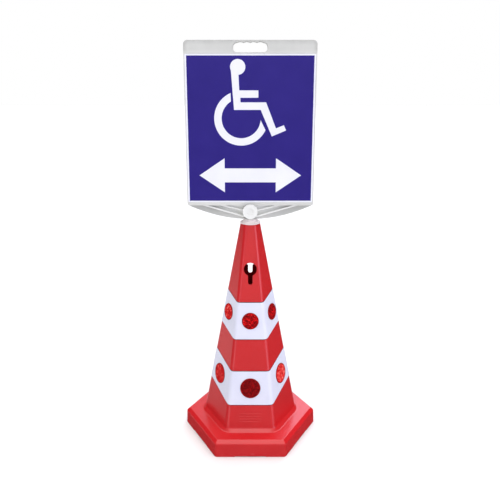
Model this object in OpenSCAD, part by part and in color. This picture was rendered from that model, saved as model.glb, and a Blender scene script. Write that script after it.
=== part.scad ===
// Cone sign: a hexagonal traffic cone with reflective bands and a sign board
// that turns on a socket in the cone's neck and lifts out of it.
// Millimetres, +Z up, origin on the ground under the cone's axis, front at -Y.

/* [Cone body] */
// Height of the cone, from the ground to its top face
cone_h = 750; // [700:5:850]
// Width across flats of the cone at its top face
top_af = 61; // [60:1:70]
// Width across flats of the cone where it meets the plinth's top
foot_af = 288; // [270:2:300]
// Wall thickness of the cone and of the plinth's top
wall = 3; // [2.5:0.1:3.5]
// Thickness of the cone's top face
top_t = 4; // [3:0.5:6]
// Radius of the cove between the cone and the plinth
cove_r = 12; // [6:1:16]
// Corner radius of the cone at its top face
corner_top_r = 16; // [8:1:20]
// Corner radius of the cone where it meets the plinth's top
corner_foot_r = 21.6; // [18:0.1:26]

/* [Plinth] */
// Width across flats of the plinth at the ground
plinth_af = 404; // [385:1:430]
// Height of the plinth
plinth_h = 57; // [52:1:62]
// Wall thickness of the plinth's sides
plinth_wall = 4; // [3:0.5:5]
// Lean of the plinth's sides over their height
plinth_draft = 1.6; // [0.5:0.1:3]
// Radius of the plinth's upper edge
plinth_edge_r = 10.5; // [6:0.5:11]
// Radius of the plinth's upright corners
plinth_corner_r = 12; // [10:1:20]
// Width of the relief under each side of the rim
relief_w = 104; // [60:2:140]
// Height of the relief under each side of the rim
relief_h = 2; // [1:0.5:4]

/* [Keyholes] */
// Height of the centre of the keyhole's round part
keyhole_z = 604; // [590:2:612]
// Diameter of the keyhole's round part
keyhole_d = 43; // [36:1:46]
// Width of the keyhole's slot
slot_w = 15; // [10:1:20]
// Distance from the round part's centre down to the slot's end
slot_drop = 51; // [40:1:60]

/* [Bands] */
// Height of the upper band's lower edge on the front face
upper_band_z = 371; // [360:1:380]
// Height of the upper band on the front face
upper_band_h = 122.5; // [110:0.5:135]
// Height of the lower band's lower edge on the front face
lower_band_z = 148; // [140:1:160]
// Height of the lower band on the front face
lower_band_h = 114; // [105:1:125]
// Rise of a band's edge along a side face as a share of the face's width
band_rise_share = 0.285; // [0.2:0.005:0.3]
// Thickness of the reflective sheeting
band_t = 0.8; // [0.4:0.1:1.2]

/* [Reflectors] */
// Diameter of the upper band's reflectors
upper_reflector_d = 56; // [44:1:58]
// Diameter of the lower band's reflectors
lower_reflector_d = 68; // [50:1:74]
// Thickness of a reflector
reflector_t = 2.4; // [1.8:0.1:3.5]
// Bevel round a reflector's edge
reflector_bevel = 0.9; // [0.4:0.1:1.2]
// Gap round a reflector in the sheeting
reflector_gap = 0.4; // [0.2:0.1:1]
// Offset of a side face's reflector towards the side corner
reflector_shift = 7; // [0:1:9]
// Rise of a side face's reflector, as its band's rise
reflector_rise_share = 0.25; // [0.2:0.01:0.3]

/* [Mould marks] */
// Width of the raised lines low on the front face
mark_w = 74; // [40:2:90]
// Height of each raised line
mark_h = 1.6; // [1:0.2:3]
// How far each raised line stands out
mark_out = 0.6; // [0.4:0.1:1]
// Spacing of the raised lines
mark_pitch = 9; // [6:1:10]
// Height of the lowest raised line
mark_z = 90; // [86:1:100]

/* [Ballast] */
// Height of the ballast ring
ballast_h = 49; // [42:1:50]
// Width of the ballast ring from its outer side to its opening
ballast_w = 42.9; // [36:0.1:46]
// Gap between the ballast ring and the plinth's wall
ballast_gap = 0.5; // [0.3:0.1:1.5]
// Diameter of the screw bosses under the plinth's top
boss_d = 15; // [12:1:18]
// Length of the screw bosses
boss_len = 23; // [16:1:26]
// Shank diameter of the ballast screws
ballast_screw_d = 5; // [4:0.5:6]
// Head diameter of the ballast screws
ballast_head_d = 10; // [8.5:0.5:11]
// Head height of the ballast screws
ballast_head_h = 3.5; // [2.5:0.5:4]
// Diameter of the ballast washers
ballast_washer_d = 15; // [12.5:0.5:16]
// Thickness of the ballast washers
ballast_washer_t = 1.5; // [1:0.1:2]
// Depth of the screw recesses under the ballast ring
ballast_recess = 11; // [8:0.5:12]

/* [Neck, socket and stem] */
// Diameter of the cone's neck bore
neck_bore_d = 46; // [45:0.5:47]
// Wall thickness of the neck sleeve
neck_wall = 4; // [3:0.5:5]
// Length of the neck sleeve
neck_len = 110; // [100:2:112]
// Diameter of the collar's rim
collar_d = 68; // [66:1:74]
// Diameter of the collar's top face
collar_top_d = 48; // [42:1:52]
// Height of the collar
collar_h = 16; // [12:1:22]
// Height of the collar's upright rim
collar_rim_h = 4.5; // [3:0.5:6]
// Length of the socket's tube below the collar
socket_len = 99; // [90:1:100]
// Width of the socket's keys
key_w = 6; // [4:0.5:8]
// How far the keys stand out of the socket's tube
key_out = 2; // [1.5:0.1:2.4]
// Length of the keys
key_len = 40; // [25:1:60]
// Diameter of the stem
stem_d = 34; // [30:0.5:36]
// Width of the stem's tongue
tongue_w = 30; // [24:1:31]
// Thickness of the stem's tongue
tongue_t = 10; // [8:0.5:11]
// Diameter of the washer under the stem
stem_washer_d = 42; // [40:0.5:43]
// Thickness of the washer under the stem
stem_washer_t = 2; // [1.5:0.1:2.5]

/* [Sign board] */
// Width of the board
board_w = 414; // [390:2:440]
// Height of the board without its fan
board_h = 520; // [480:5:560]
// Thickness of the board
board_t = 28; // [26:1:32]
// Thickness of the shells' walls
shell_wall = 2.6; // [2:0.1:3.2]
// Radius of the board's upper corners
board_top_r = 13; // [8:1:18]
// Radius of the board's lower corners
board_bottom_r = 9; // [6:1:14]
// Height of the fan between the board and the collar
fan_h = 46; // [42:1:54]
// How far the fan's lowest edge reaches below the collar's top
fan_dip = 2.5; // [0:0.5:4]
// Thickness of the fan's web
web_t = 8; // [6:0.5:10]
// Width of the fan's ribs
rib_w = 5; // [3.5:0.5:7]
// Thickness over the fan's ribs
rib_t = 21; // [16:0.5:24]

/* [Handle] */
// Width of the handle's opening
handle_w = 107; // [95:1:120]
// Height of the handle's opening
handle_h = 31; // [28:0.5:32]
// Height of the bar over the handle's opening
handle_bar = 5; // [4.5:0.1:6]
// Radius of the opening's ends
handle_end_r = 12; // [8:0.5:13]
// Number of finger scallops
finger_count = 4; // [3:1:5]
// Depth of the finger scallops
finger_depth = 3; // [2:0.5:4]

/* [Sheet and film] */
// Height of the head band over the sheet
head_band = 41; // [40:0.5:46]
// Height of the board's rim under the sheet
foot_rim = 11; // [8:0.5:16]
// Width of the board's rim beside the sheet
side_rim = 3.5; // [2.5:0.5:8]
// Thickness of the sheet
sheet_t = 1; // [0.8:0.1:1.4]
// Thickness of the film on the sheet
film_t = 0.3; // [0.2:0.05:0.5]
// Depth of the film under the board's rim
film_sink = 0.3; // [0.1:0.1:0.6]
// Width of the sheet's border round the film
sheet_border = 5; // [3:0.5:10]
// Corner radius of the sheet
sheet_r = 4; // [2:0.5:8]
// Height of the wheelchair symbol
symbol_h = 268; // [220:2:275]
// Distance from the film's top to the top of the symbol
symbol_margin = 10.3; // [6:0.1:20]
// Offset of the symbol's wheel centre to the left
symbol_left = 29; // [10:1:40]
// Distance from the film's sides to the arrow's tips
arrow_side = 33.5; // [20:0.5:60]
// Height of the arrow's heads
arrow_head_h = 112; // [80:2:120]
// Length of the arrow's heads
arrow_head_w = 82; // [60:1:90]
// Thickness of the arrow's shaft
arrow_shaft = 46; // [30:1:60]
// Distance from the film's bottom to the arrow's middle
arrow_rise = 84; // [76:1:90]

/* [Hub and fasteners] */
// Height of the hub's foot on the collar
hub_foot_h = 1.8; // [1.4:0.1:3]
// Diameter of the hub's boss
hub_boss_d = 47; // [44:0.5:48]
// Diameter of the hub caps
cap_d = 50; // [49:0.5:52]
// Height of the hub caps' dome
cap_h = 7; // [6:0.5:9]
// Diameter of the hub's recesses for the bolt's head and nut
hub_recess_d = 22; // [20:0.5:24]
// Length of a cap's plug in its recess
cap_plug = 2.5; // [1.5:0.5:3]
// Shank diameter of the hub bolt and of the stem screw
bolt_d = 8; // [6:0.5:8.5]
// Width across flats of the bolt's head and nut
bolt_af = 13; // [12:0.5:14]
// Height of the bolt's head
bolt_head_h = 5.3; // [4.5:0.1:6]
// Height of the hub nut
nut_h = 8; // [6.5:0.1:8.3]
// Diameter of the hub washers
hub_washer_d = 16; // [15:0.5:17]
// Thickness of the hub washers
hub_washer_t = 1.6; // [1.2:0.1:1.8]
// Shank diameter of the shell screws
shell_screw_d = 4; // [3:0.5:4.5]
// Head diameter of the shell screws
shell_head_d = 8; // [6.5:0.5:8.5]
// Head height of the shell screws
shell_head_h = 2.6; // [2:0.1:3]
// Diameter of the screw bosses in the shells
shell_boss_d = 12; // [11:0.5:14]
// Distance of the shell screws from the board's sides
shell_screw_in = 24; // [20:1:40]
// Distance of the outer shell screws from the sheet's top and bottom
shell_screw_end = 30; // [20:1:60]

/* [Hidden] */
$fn = 64;
// Overrun of every cut past the face that it opens
over = 1;
// Clearance of a part that turns or slides in a bore
running_gap = 0.05;
// Clearance of a part that seats loosely
seat_gap = 0.2;
// Clearance of a screw in its pilot hole
pilot_gap = 0.05;
// Clearance of a screw in a through hole
hole_gap = 0.4;
// Clearance of the fan round the collar's top
collar_gap = 1;
// Smallest inside corner radius of the moulded walls
least_r = 0.6;
// Cone corners and faces, counted anticlockwise seen from above
sides = 6;
half_turn = 180 / sides;
face_turn = 360 / sides;
// Facets on a rounded corner of the cone
arc_n = 4;
// Facets on the plinth's upper edge and on the cove
edge_n = 3;
// Facets on a rounded corner of the board, on the fan's curve and on a scallop
corner_n = 6;
fan_n = 24;
finger_n = 6;
// Facets of the hub cap's dome and of the collar's cove
dome_n = 8;

// Cone: half width across flats at a height, and the lean of its faces
lean = (foot_af - top_af) / 2 / (cone_h - plinth_h);
lean_angle = atan(lean);
function face_a(z) = top_af / 2 + lean * (cone_h - z);
function face_width(z) = 2 * face_a(z) * tan(half_turn);
function corner_r(z) = corner_top_r + (corner_foot_r - corner_top_r) * (cone_h - z) / (cone_h - plinth_h);
corner_share = corner_foot_r / (foot_af / 2);
plinth_a = plinth_af / 2;
plinth_top_a = plinth_a - plinth_draft;
plinth_in_a = plinth_a - plinth_wall;
plinth_in_top_a = plinth_top_a - plinth_wall;
plinth_roof_z = plinth_h - wall;
cove_z = plinth_h + cove_r;
cove_a = face_a(cove_z) + cove_r / cos(lean_angle);

// Ballast
ballast_a = plinth_in_top_a - ballast_gap;
ballast_in_a = ballast_a - ballast_w;
boss_at = (ballast_a + ballast_in_a) / 2;
boss_z = plinth_roof_z - boss_len;
ballast_shoulder = boss_z - seat_gap;
ballast_washer_z = ballast_recess - ballast_washer_t;
ballast_screw_tip = plinth_roof_z - 2 * wall;

// Neck, socket and stem
neck_r = neck_bore_d / 2;
neck_z = cone_h - neck_len;
socket_r = neck_r - running_gap;
socket_z = cone_h - socket_len;
stem_r = stem_d / 2;
stem_z = socket_z - seat_gap;
sign_z = cone_h + collar_h;

// Board
board_half = board_w / 2;
skin_half = board_t / 2;
board_z = sign_z + fan_h;
board_top = board_z + board_h;
recess_depth = sheet_t + film_t + film_sink;
floor_y = skin_half - recess_depth;
skin_y = floor_y - shell_wall;
sheet_w = board_w - 2 * side_rim;
sheet_z = board_z + foot_rim;
sheet_top = board_top - head_band;
film_half = sheet_w / 2 - sheet_border;
film_z = sheet_z + sheet_border;
film_top = sheet_top - sheet_border;
handle_top = board_top - handle_bar;
handle_z = handle_top - handle_h;

// Hub
hub_rise = hub_foot_h + seat_gap + cap_d / 2;
hub_z = sign_z + hub_rise;
hub_floor = tongue_t / 2 + shell_wall;
tongue_top = hub_z + hub_boss_d / 2 - shell_wall;
cap_cavity_d = hub_recess_d - 2 * shell_wall - seat_gap;
cap_roof = cap_h - shell_wall + seat_gap;
// Ends of the fan's ribs, as shares of half the board's width along its foot
rib_shares = [0.5, 0.77];
// Heights of the ribs' roots, as shares of the hub's height over the collar
rib_root_shares = [0.94, 0.2];
// Screw rows between the sheet's ends
shell_screw_rows = 3;

// One point of a hexagon with rounded corners, on corner k at step j of its arc
function ring_point(a, r, k, j) =
    let (reach = (a - r) / cos(half_turn),
         out = face_turn * k,
         turn = out - half_turn + face_turn * j / arc_n)
    [reach * cos(out) + r * cos(turn), reach * sin(out) + r * sin(turn)];

// The whole hexagon, and the same lifted to a height
function hexagon(a, r) = [for (k = [0:sides - 1]) for (j = [0:arc_n]) ring_point(a, r, k, j)];
function ring(p) = [for (q = hexagon(p[0], p[2])) [q.x, q.y, p[1]]];

// Points of an arc about a centre
function arc(centre, r, from, to, n) =
    [for (s = [0:n]) let (t = from + (to - from) * s / n) centre + r * [cos(t), sin(t)]];

// A rectangle with rounded corners, from its low corner to its high corner
function rounded(low, high, r_low, r_high) = concat(
    arc([low.x + r_low, low.y + r_low], r_low, 180, 270, corner_n),
    arc([high.x - r_low, low.y + r_low], r_low, 270, 360, corner_n),
    arc([high.x - r_high, high.y - r_high], r_high, 0, 90, corner_n),
    arc([low.x + r_high, high.y - r_high], r_high, 90, 180, corner_n));

// A straight strip of a width between two points
function strip(p, q, w) =
    let (d = (q - p) / norm(q - p), n = [-d.y, d.x] * w / 2) [p + n, q + n, q - n, p - n];

// Rings joined side by side into one skin that closes on itself
module ring_loop(rings) {
    n = len(rings[0]);
    m = len(rings);
    polyhedron(
        points = [for (r = rings) each r],
        faces = [for (i = [0:m - 1]) for (j = [0:n - 1])
            let (u = (i + 1) % m, v = (j + 1) % n, a = i * n + j, b = u * n + j, c = u * n + v, d = i * n + v)
            each [[a, b, c], [a, c, d]]]);
}

// Extrudes an outline drawn in X and Z between two depths
module slab(from, to) {
    translate([0, to, 0]) rotate([90, 0, 0]) linear_extrude(to - from) children();
}

// Puts a shape on a face of the cone, with its +Z out of the face and its +Y along it
module on_face(f, z, along) {
    rotate([0, 0, 270 + face_turn * f]) translate([face_a(z), along, z])
        rotate([0, 90 - lean_angle, 0]) children();
}

// Repeats a shape over each side of the hexagon
module each_side() {
    for (f = [0:sides - 1]) rotate([0, 0, half_turn + face_turn * f]) children();
}

// Moulded shell of the cone and plinth

function plinth_profile() = concat(
    [[plinth_a, 0, plinth_corner_r]],
    [for (s = [0:edge_n]) let (t = 90 * s / edge_n, back = plinth_edge_r * (1 - cos(t)))
        [plinth_top_a - back, plinth_h - plinth_edge_r * (1 - sin(t)), plinth_corner_r - back]]);

function cove_profile() =
    [for (s = [0:edge_n])
        let (t = 270 - (90 - lean_angle) * s / edge_n,
             a = cove_a + cove_r * cos(t),
             z = cove_z + cove_r * sin(t))
        [a, z, corner_r(z) + a - face_a(z)]];

function inner_profile(z) =
    [face_a(z) - wall / cos(lean_angle), z, max(corner_r(z) - wall, least_r)];

function shell_profile() =
    let (pilot = neck_r / 2)
    concat(
        plinth_profile(),
        cove_profile(),
        [[top_af / 2, cone_h, corner_top_r],
         [pilot, cone_h, pilot],
         [pilot, cone_h - top_t, pilot],
         inner_profile(cone_h - top_t),
         inner_profile(plinth_roof_z),
         [plinth_in_top_a, plinth_roof_z, plinth_corner_r - plinth_wall],
         [plinth_in_a, 0, plinth_corner_r - plinth_wall]]);

module keyhole_cut() {
    slab(-plinth_a, plinth_a) {
        translate([0, keyhole_z]) circle(d = keyhole_d);
        translate([-slot_w / 2, keyhole_z - slot_drop + slot_w / 2])
            square([slot_w, slot_drop - slot_w / 2]);
        translate([0, keyhole_z - slot_drop + slot_w / 2]) circle(d = slot_w);
    }
}

module neck_cut() {
    translate([0, 0, neck_z - over]) cylinder(r = neck_r, h = neck_len + 2 * over);
    keyway_w = key_w + 2 * seat_gap;
    keyway_r = socket_r + key_out + seat_gap;
    translate([-keyway_r, -keyway_w / 2, cone_h - key_len - seat_gap])
        cube([2 * keyway_r, keyway_w, key_len + seat_gap + over]);
}

module relief_cuts() {
    each_side() translate([plinth_a - 2 * plinth_wall, -relief_w / 2, -over])
        cube([2 * plinth_wall + over, relief_w, relief_h + over]);
}

module mould_marks() {
    mark_count = 4;
    for (i = [0:mark_count - 1]) on_face(0, mark_z + i * mark_pitch, 0)
        translate([-mark_h / 2, -mark_w / 2, -wall / 2]) cube([mark_h, mark_w, wall / 2 + mark_out]);
}

module ballast_bosses() {
    each_side() translate([boss_at, 0, boss_z]) cylinder(d = boss_d, h = boss_len + wall / 2);
}

module ballast_pilots() {
    each_side() translate([boss_at, 0, boss_z - over])
        cylinder(d = ballast_screw_d + 2 * pilot_gap, h = boss_len - wall / 2 + over);
}

module cone_shell() {
    color("firebrick") difference() {
        union() {
            ring_loop([for (p = shell_profile()) ring(p)]);
            translate([0, 0, neck_z]) cylinder(r = neck_r + neck_wall, h = neck_len - top_t / 2);
            mould_marks();
            ballast_bosses();
        }
        keyhole_cut();
        neck_cut();
        relief_cuts();
        ballast_pilots();
    }
}

// Ballast ring in the plinth, with its screws and washers

module ballast_ring() {
    color("dimgray") difference() {
        linear_extrude(ballast_h) difference() {
            polygon(hexagon(ballast_a, plinth_corner_r - plinth_wall));
            polygon(hexagon(ballast_in_a, corner_share * ballast_in_a));
        }
        each_side() translate([boss_at, 0, 0]) {
            translate([0, 0, ballast_shoulder])
                cylinder(d = boss_d + 2 * hole_gap, h = ballast_h - ballast_shoulder + over);
            translate([0, 0, -over]) cylinder(d = ballast_screw_d + 2 * hole_gap, h = ballast_h + over);
            translate([0, 0, -over]) cylinder(d = ballast_washer_d + 2 * hole_gap, h = ballast_recess + over);
        }
    }
}

module ballast_washers() {
    color("silver") each_side() translate([boss_at, 0, ballast_washer_z]) difference() {
        cylinder(d = ballast_washer_d, h = ballast_washer_t);
        translate([0, 0, -over])
            cylinder(d = ballast_screw_d + 2 * pilot_gap, h = ballast_washer_t + 2 * over);
    }
}

module ballast_screws() {
    color("silver") each_side() translate([boss_at, 0, ballast_washer_z]) {
        translate([0, 0, -ballast_head_h]) cylinder(d = ballast_head_d, h = ballast_head_h);
        cylinder(d = ballast_screw_d, h = ballast_screw_tip - ballast_washer_z);
    }
}

// Reflective bands: the edges run level on the front and rear faces and rise to the side corners

// How far an arc step lies along a side face, from 0 at the front or rear corner to 1 at the side corner
function side_share(k, j) =
    let (p = ring_point(1, corner_share, k, j), front = 1 / cos(half_turn) / 2)
    max(0, min(1, (abs(p.x) - front) / front));

function band_edge(z, k, j) = z + side_share(k, j) * band_rise_share * face_width(z);

// The arc steps of half the cone, from one side corner round to the other
function half_steps(first) = [
    for (k = [first:first + sides / 2]) for (j = [0:arc_n])
        if ((k > first || j >= arc_n / 2) && (k < first + sides / 2 || j <= arc_n / 2)) [k, j]];

function band_ring(step, z_low, z_high) =
    let (k = step[0], j = step[1], low = band_edge(z_low, k, j), high = band_edge(z_high, k, j),
         at = function (z, out) let (q = ring_point(face_a(z) + out, corner_r(z) + out, k, j))
            [q.x, q.y, z])
    [at(low, 0), at(low, band_t), at(high, band_t), at(high, 0)];

module band(first, z_low, z_high, dot_d) {
    rings = [for (s = half_steps(first)) band_ring(s, z_low, z_high)];
    m = len(rings);
    color("white") difference() {
        polyhedron(
            points = [for (r = rings) each r],
            faces = concat(
                [[3, 2, 1], [3, 1, 0]],
                [for (i = [0:m - 2]) for (c = [0:3])
                    let (d = (c + 1) % 4, a = 4 * i + c, b = 4 * i + d, e = a + 4, g = b + 4)
                    each [[a, b, g], [a, g, e]]],
                let (t = 4 * (m - 1)) [[t, t + 1, t + 2], [t, t + 2, t + 3]]));
        for (f = [0:sides - 1]) reflector_place(f, z_low, z_high) translate([0, 0, -over])
            cylinder(d = dot_d + 2 * reflector_gap, h = reflector_t + 2 * over);
    }
}

// A reflector sits half way up its band, moved towards the side corner on the side faces
module reflector_place(f, z_low, z_high) {
    on_side = f % (sides / 2) == 0 ? 0 : 1;
    towards = f == 1 || f == 4 ? 1 : -1;
    middle = (z_low + z_high) / 2;
    share = on_side * (1 / 2 + reflector_shift / face_width(middle));
    z = middle + share * reflector_rise_share * face_width(middle);
    on_face(f, z, on_side * towards * reflector_shift) children();
}

module reflector(f, z_low, z_high, d) {
    color("darkred") reflector_place(f, z_low, z_high) rotate_extrude() polygon([
        [0, 0], [d / 2, 0], [d / 2, reflector_t - reflector_bevel],
        [d / 2 - reflector_bevel, reflector_t], [0, reflector_t]]);
}

module upper_band(first) {
    band(first, upper_band_z, upper_band_z + upper_band_h, upper_reflector_d);
}

module lower_band(first) {
    band(first, lower_band_z, lower_band_z + lower_band_h, lower_reflector_d);
}

// Socket in the cone's neck, with the collar that the sign turns on

module neck_socket() {
    rise = collar_h - collar_rim_h;
    run = (collar_d - collar_top_d) / 2;
    bore_r = stem_r + running_gap;
    color("gainsboro") {
        rotate_extrude() polygon(concat(
            [[bore_r, socket_z], [socket_r, socket_z], [socket_r, cone_h], [collar_d / 2, cone_h]],
            [for (s = [0:dome_n]) let (t = 90 * s / dome_n)
                [collar_d / 2 - run * sin(t), cone_h + collar_rim_h + rise * (1 - cos(t))]],
            [[bore_r, sign_z]]));
        for (side = [0, 180]) rotate([0, 0, side])
            translate([socket_r - key_out, -key_w / 2, cone_h - key_len])
                cube([2 * key_out, key_w, key_len]);
    }
}

// Stem of the sign, with the washer and screw that hold it in the socket

module stem() {
    color("gainsboro") difference() {
        union() {
            translate([0, 0, stem_z]) cylinder(r = stem_r, h = sign_z - stem_z);
            slab(-tongue_t / 2, tongue_t / 2)
                polygon(rounded([-tongue_w / 2, sign_z - over], [tongue_w / 2, tongue_top],
                    least_r, tongue_w / 4));
        }
        translate([0, 0, stem_z - over]) cylinder(d = bolt_d + 2 * pilot_gap, h = stem_d + over);
        slab(-tongue_t, tongue_t) translate([0, hub_z]) circle(d = bolt_d + 2 * hole_gap);
    }
}

module stem_washer() {
    color("silver") translate([0, 0, stem_z - stem_washer_t]) difference() {
        cylinder(d = stem_washer_d, h = stem_washer_t);
        translate([0, 0, -over]) cylinder(d = bolt_d + 2 * pilot_gap, h = stem_washer_t + 2 * over);
    }
}

module stem_screw() {
    color("silver") translate([0, 0, stem_z - stem_washer_t]) {
        translate([0, 0, -bolt_head_h]) cylinder(d = bolt_af / cos(30), h = bolt_head_h, $fn = 6);
        cylinder(d = bolt_d, h = stem_d - over);
    }
}

// Sign board: two shells that meet at the middle, with a handle, a ribbed fan and a hub

module board_outline(inset) {
    polygon(rounded([-board_half + inset, board_z + inset], [board_half - inset, board_top - inset],
        board_bottom_r - inset, board_top_r - inset));
}

module sheet_outline(gap) {
    polygon(rounded([-sheet_w / 2 - gap, sheet_z - gap], [sheet_w / 2 + gap, sheet_top + gap],
        sheet_r + gap, sheet_r + gap));
}

module fan_outline() {
    polygon(concat(
        [for (i = [0:fan_n]) let (share = 2 * i / fan_n - 1)
            [board_half * share, sign_z - fan_dip + (fan_h + fan_dip) * share ^ 2]],
        [[board_half - board_bottom_r, board_z + board_bottom_r],
         [board_bottom_r - board_half, board_z + board_bottom_r]]));
}

// Opening for the hand: round ends below, and scallops for the fingers above
module handle_outline() {
    shoulder = handle_top - finger_depth;
    half = handle_w / 2;
    reach = half - handle_end_r;
    steps = finger_count * finger_n;
    polygon(concat(
        arc([-reach, handle_z + handle_end_r], handle_end_r, 180, 270, corner_n),
        arc([reach, handle_z + handle_end_r], handle_end_r, 270, 360, corner_n),
        arc([reach, shoulder - handle_end_r], handle_end_r, 0, 90, corner_n),
        [for (i = [1:steps - 1]) let (u = i / steps)
            [reach * (1 - 2 * u), shoulder + finger_depth * abs(sin(180 * finger_count * u))]],
        arc([-reach, shoulder - handle_end_r], handle_end_r, 90, 180, corner_n)));
}

module fan_ribs() {
    for (i = [0:len(rib_shares) - 1]) for (side = [-1, 1])
        polygon(strip([side * hub_boss_d / 4, sign_z + hub_rise * rib_root_shares[i]],
            [side * board_half * rib_shares[i], board_z + shell_wall], rib_w));
}

module shell_screw_places() {
    span = sheet_top - sheet_z - 2 * shell_screw_end;
    for (side = [-1, 1]) for (row = [0:shell_screw_rows - 1])
        translate([side * (board_half - shell_screw_in),
            sheet_z + shell_screw_end + span * row / (shell_screw_rows - 1)]) children();
}

module shell_half() {
    block = handle_w / 2 + shell_wall;
    neck_half = tongue_w / 2 + seat_gap + shell_wall;
    difference() {
        union() {
            slab(-skin_half, -skin_y) board_outline(0);
            slab(-skin_half, 0) difference() {
                board_outline(0);
                board_outline(shell_wall);
            }
            slab(-skin_half, 0) intersection() {
                board_outline(0);
                translate([-block, handle_z - shell_wall])
                    square([2 * block, board_top - handle_z + shell_wall]);
            }
            slab(-floor_y, 0) shell_screw_places() circle(d = shell_boss_d);
            slab(-web_t / 2, 0) fan_outline();
            slab(-rib_t / 2, 0) fan_ribs();
            slab(-skin_half, 0) translate([0, hub_z]) circle(d = hub_boss_d);
            slab(-hub_floor, 0) translate([-neck_half, sign_z]) square([2 * neck_half, hub_rise]);
            intersection() {
                translate([0, 0, sign_z]) cylinder(d = collar_top_d, h = hub_foot_h);
                slab(-collar_top_d, 0) translate([-collar_top_d, sign_z]) square(2 * collar_top_d);
            }
        }
        translate([0, 0, sign_z - fan_dip - over])
            cylinder(d = collar_top_d + 2 * collar_gap, h = fan_dip + over);
        slab(-skin_half - over, -floor_y) sheet_outline(seat_gap);
        slab(-skin_half - over, over) handle_outline();
        slab(-tongue_t / 2 - seat_gap / 2, over) translate([-tongue_w / 2 - seat_gap, sign_z - over])
            square([tongue_w + 2 * seat_gap, tongue_top - sign_z + over + seat_gap]);
        slab(-skin_half - over, over) translate([0, hub_z]) circle(d = bolt_d + 2 * hole_gap);
        slab(-skin_half - over, -hub_floor) translate([0, hub_z]) circle(d = hub_recess_d);
    }
}

module front_shell() {
    color("gainsboro") difference() {
        shell_half();
        slab(-skin_y, over) shell_screw_places() circle(d = shell_screw_d + 2 * pilot_gap);
    }
}

module rear_shell() {
    color("gainsboro") rotate([0, 0, 180]) difference() {
        shell_half();
        slab(-skin_half - over, over) shell_screw_places() circle(d = shell_screw_d + 2 * hole_gap);
        slab(-skin_half - over, shell_head_h - floor_y) shell_screw_places()
            circle(d = shell_head_d + 2 * hole_gap);
    }
}

module shell_screws() {
    color("silver") rotate([0, 0, 180]) {
        slab(-floor_y, shell_head_h - floor_y) shell_screw_places() circle(d = shell_head_d);
        slab(shell_head_h - floor_y - over, skin_y - over) shell_screw_places() circle(d = shell_screw_d);
    }
}

// Printed sheet and film of one side: the film's cut-outs show the white sheet

// Wheelchair figure, as shares of its height about the wheel's centre, and the wheel's open sector
figure_shares = [
    [-0.117, 0.547], [-0.084, 0.1], [0.231, 0.1], [0.364, -0.21], [0.534, -0.14], [0.507, -0.077],
    [0.413, -0.115], [0.294, 0.188], [-0.006, 0.188], [-0.009, 0.24], [0.203, 0.24], [0.203, 0.325],
    [-0.021, 0.325], [-0.031, 0.547]];
head_shares = [-0.038, 0.589];
head_r_share = 0.089;
wheel_out_share = 0.319;
wheel_in_share = 0.231;
gap_shares = [[-0.124, 0.4], [-0.118, 0], [0.221, 0], [0.33, -0.216], [0.6, -0.216], [0.6, 0.4]];

module symbol_outline() {
    wheel_z = film_top - symbol_margin - symbol_h * (head_shares.y + head_r_share);
    translate([-symbol_left, wheel_z]) {
        polygon(symbol_h * figure_shares);
        translate(symbol_h * head_shares) circle(r = symbol_h * head_r_share);
        difference() {
            circle(r = symbol_h * wheel_out_share);
            circle(r = symbol_h * wheel_in_share);
            polygon(symbol_h * gap_shares);
        }
    }
}

module arrow_outline() {
    tip = film_half - arrow_side;
    neck = tip - arrow_head_w;
    translate([0, film_z + arrow_rise]) polygon([
        [tip, 0], [neck, arrow_head_h / 2], [neck, arrow_shaft / 2],
        [-neck, arrow_shaft / 2], [-neck, arrow_head_h / 2], [-tip, 0],
        [-neck, -arrow_head_h / 2], [-neck, -arrow_shaft / 2],
        [neck, -arrow_shaft / 2], [neck, -arrow_head_h / 2]]);
}

module sheet() {
    color("white") slab(-floor_y - sheet_t, -floor_y) sheet_outline(0);
}

module film() {
    color("darkslateblue") slab(-floor_y - sheet_t - film_t, -floor_y - sheet_t) difference() {
        translate([-film_half, film_z]) square([2 * film_half, film_top - film_z]);
        symbol_outline();
        arrow_outline();
    }
}

// Hub bolt, nut, washers and caps

module along_hub(y) {
    translate([0, y, hub_z]) rotate([90, 0, 0]) children();
}

module hub_bolt() {
    seat = hub_floor + hub_washer_t;
    color("silver") {
        along_hub(-seat) cylinder(d = bolt_af / cos(30), h = bolt_head_h, $fn = 6);
        along_hub(seat + nut_h) cylinder(d = bolt_d, h = 2 * seat + nut_h + over);
    }
}

module hub_nut() {
    color("silver") along_hub(hub_floor + hub_washer_t + nut_h) difference() {
        cylinder(d = bolt_af / cos(30), h = nut_h, $fn = 6);
        translate([0, 0, -over]) cylinder(d = bolt_d + 2 * pilot_gap, h = nut_h + 2 * over);
    }
}

module hub_washers() {
    color("silver") for (y = [-hub_floor, hub_floor + hub_washer_t]) along_hub(y) difference() {
        cylinder(d = hub_washer_d, h = hub_washer_t);
        translate([0, 0, -over]) cylinder(d = bolt_d + 2 * pilot_gap, h = hub_washer_t + 2 * over);
    }
}

module hub_cap() {
    r = cap_d / 2;
    plug_r = hub_recess_d / 2 - seat_gap;
    dome_r = (r ^ 2 + cap_h ^ 2) / (2 * cap_h);
    half_angle = asin(r / dome_r);
    color("whitesmoke") along_hub(-skin_half) rotate_extrude() polygon(concat(
        [[0, cap_roof], [cap_cavity_d / 2, cap_roof], [cap_cavity_d / 2, -cap_plug],
         [plug_r, -cap_plug], [plug_r, 0]],
        [for (s = [0:dome_n]) let (t = half_angle * (1 - s / dome_n))
            [dome_r * sin(t), cap_h - dome_r * (1 - cos(t))]]));
}

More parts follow.
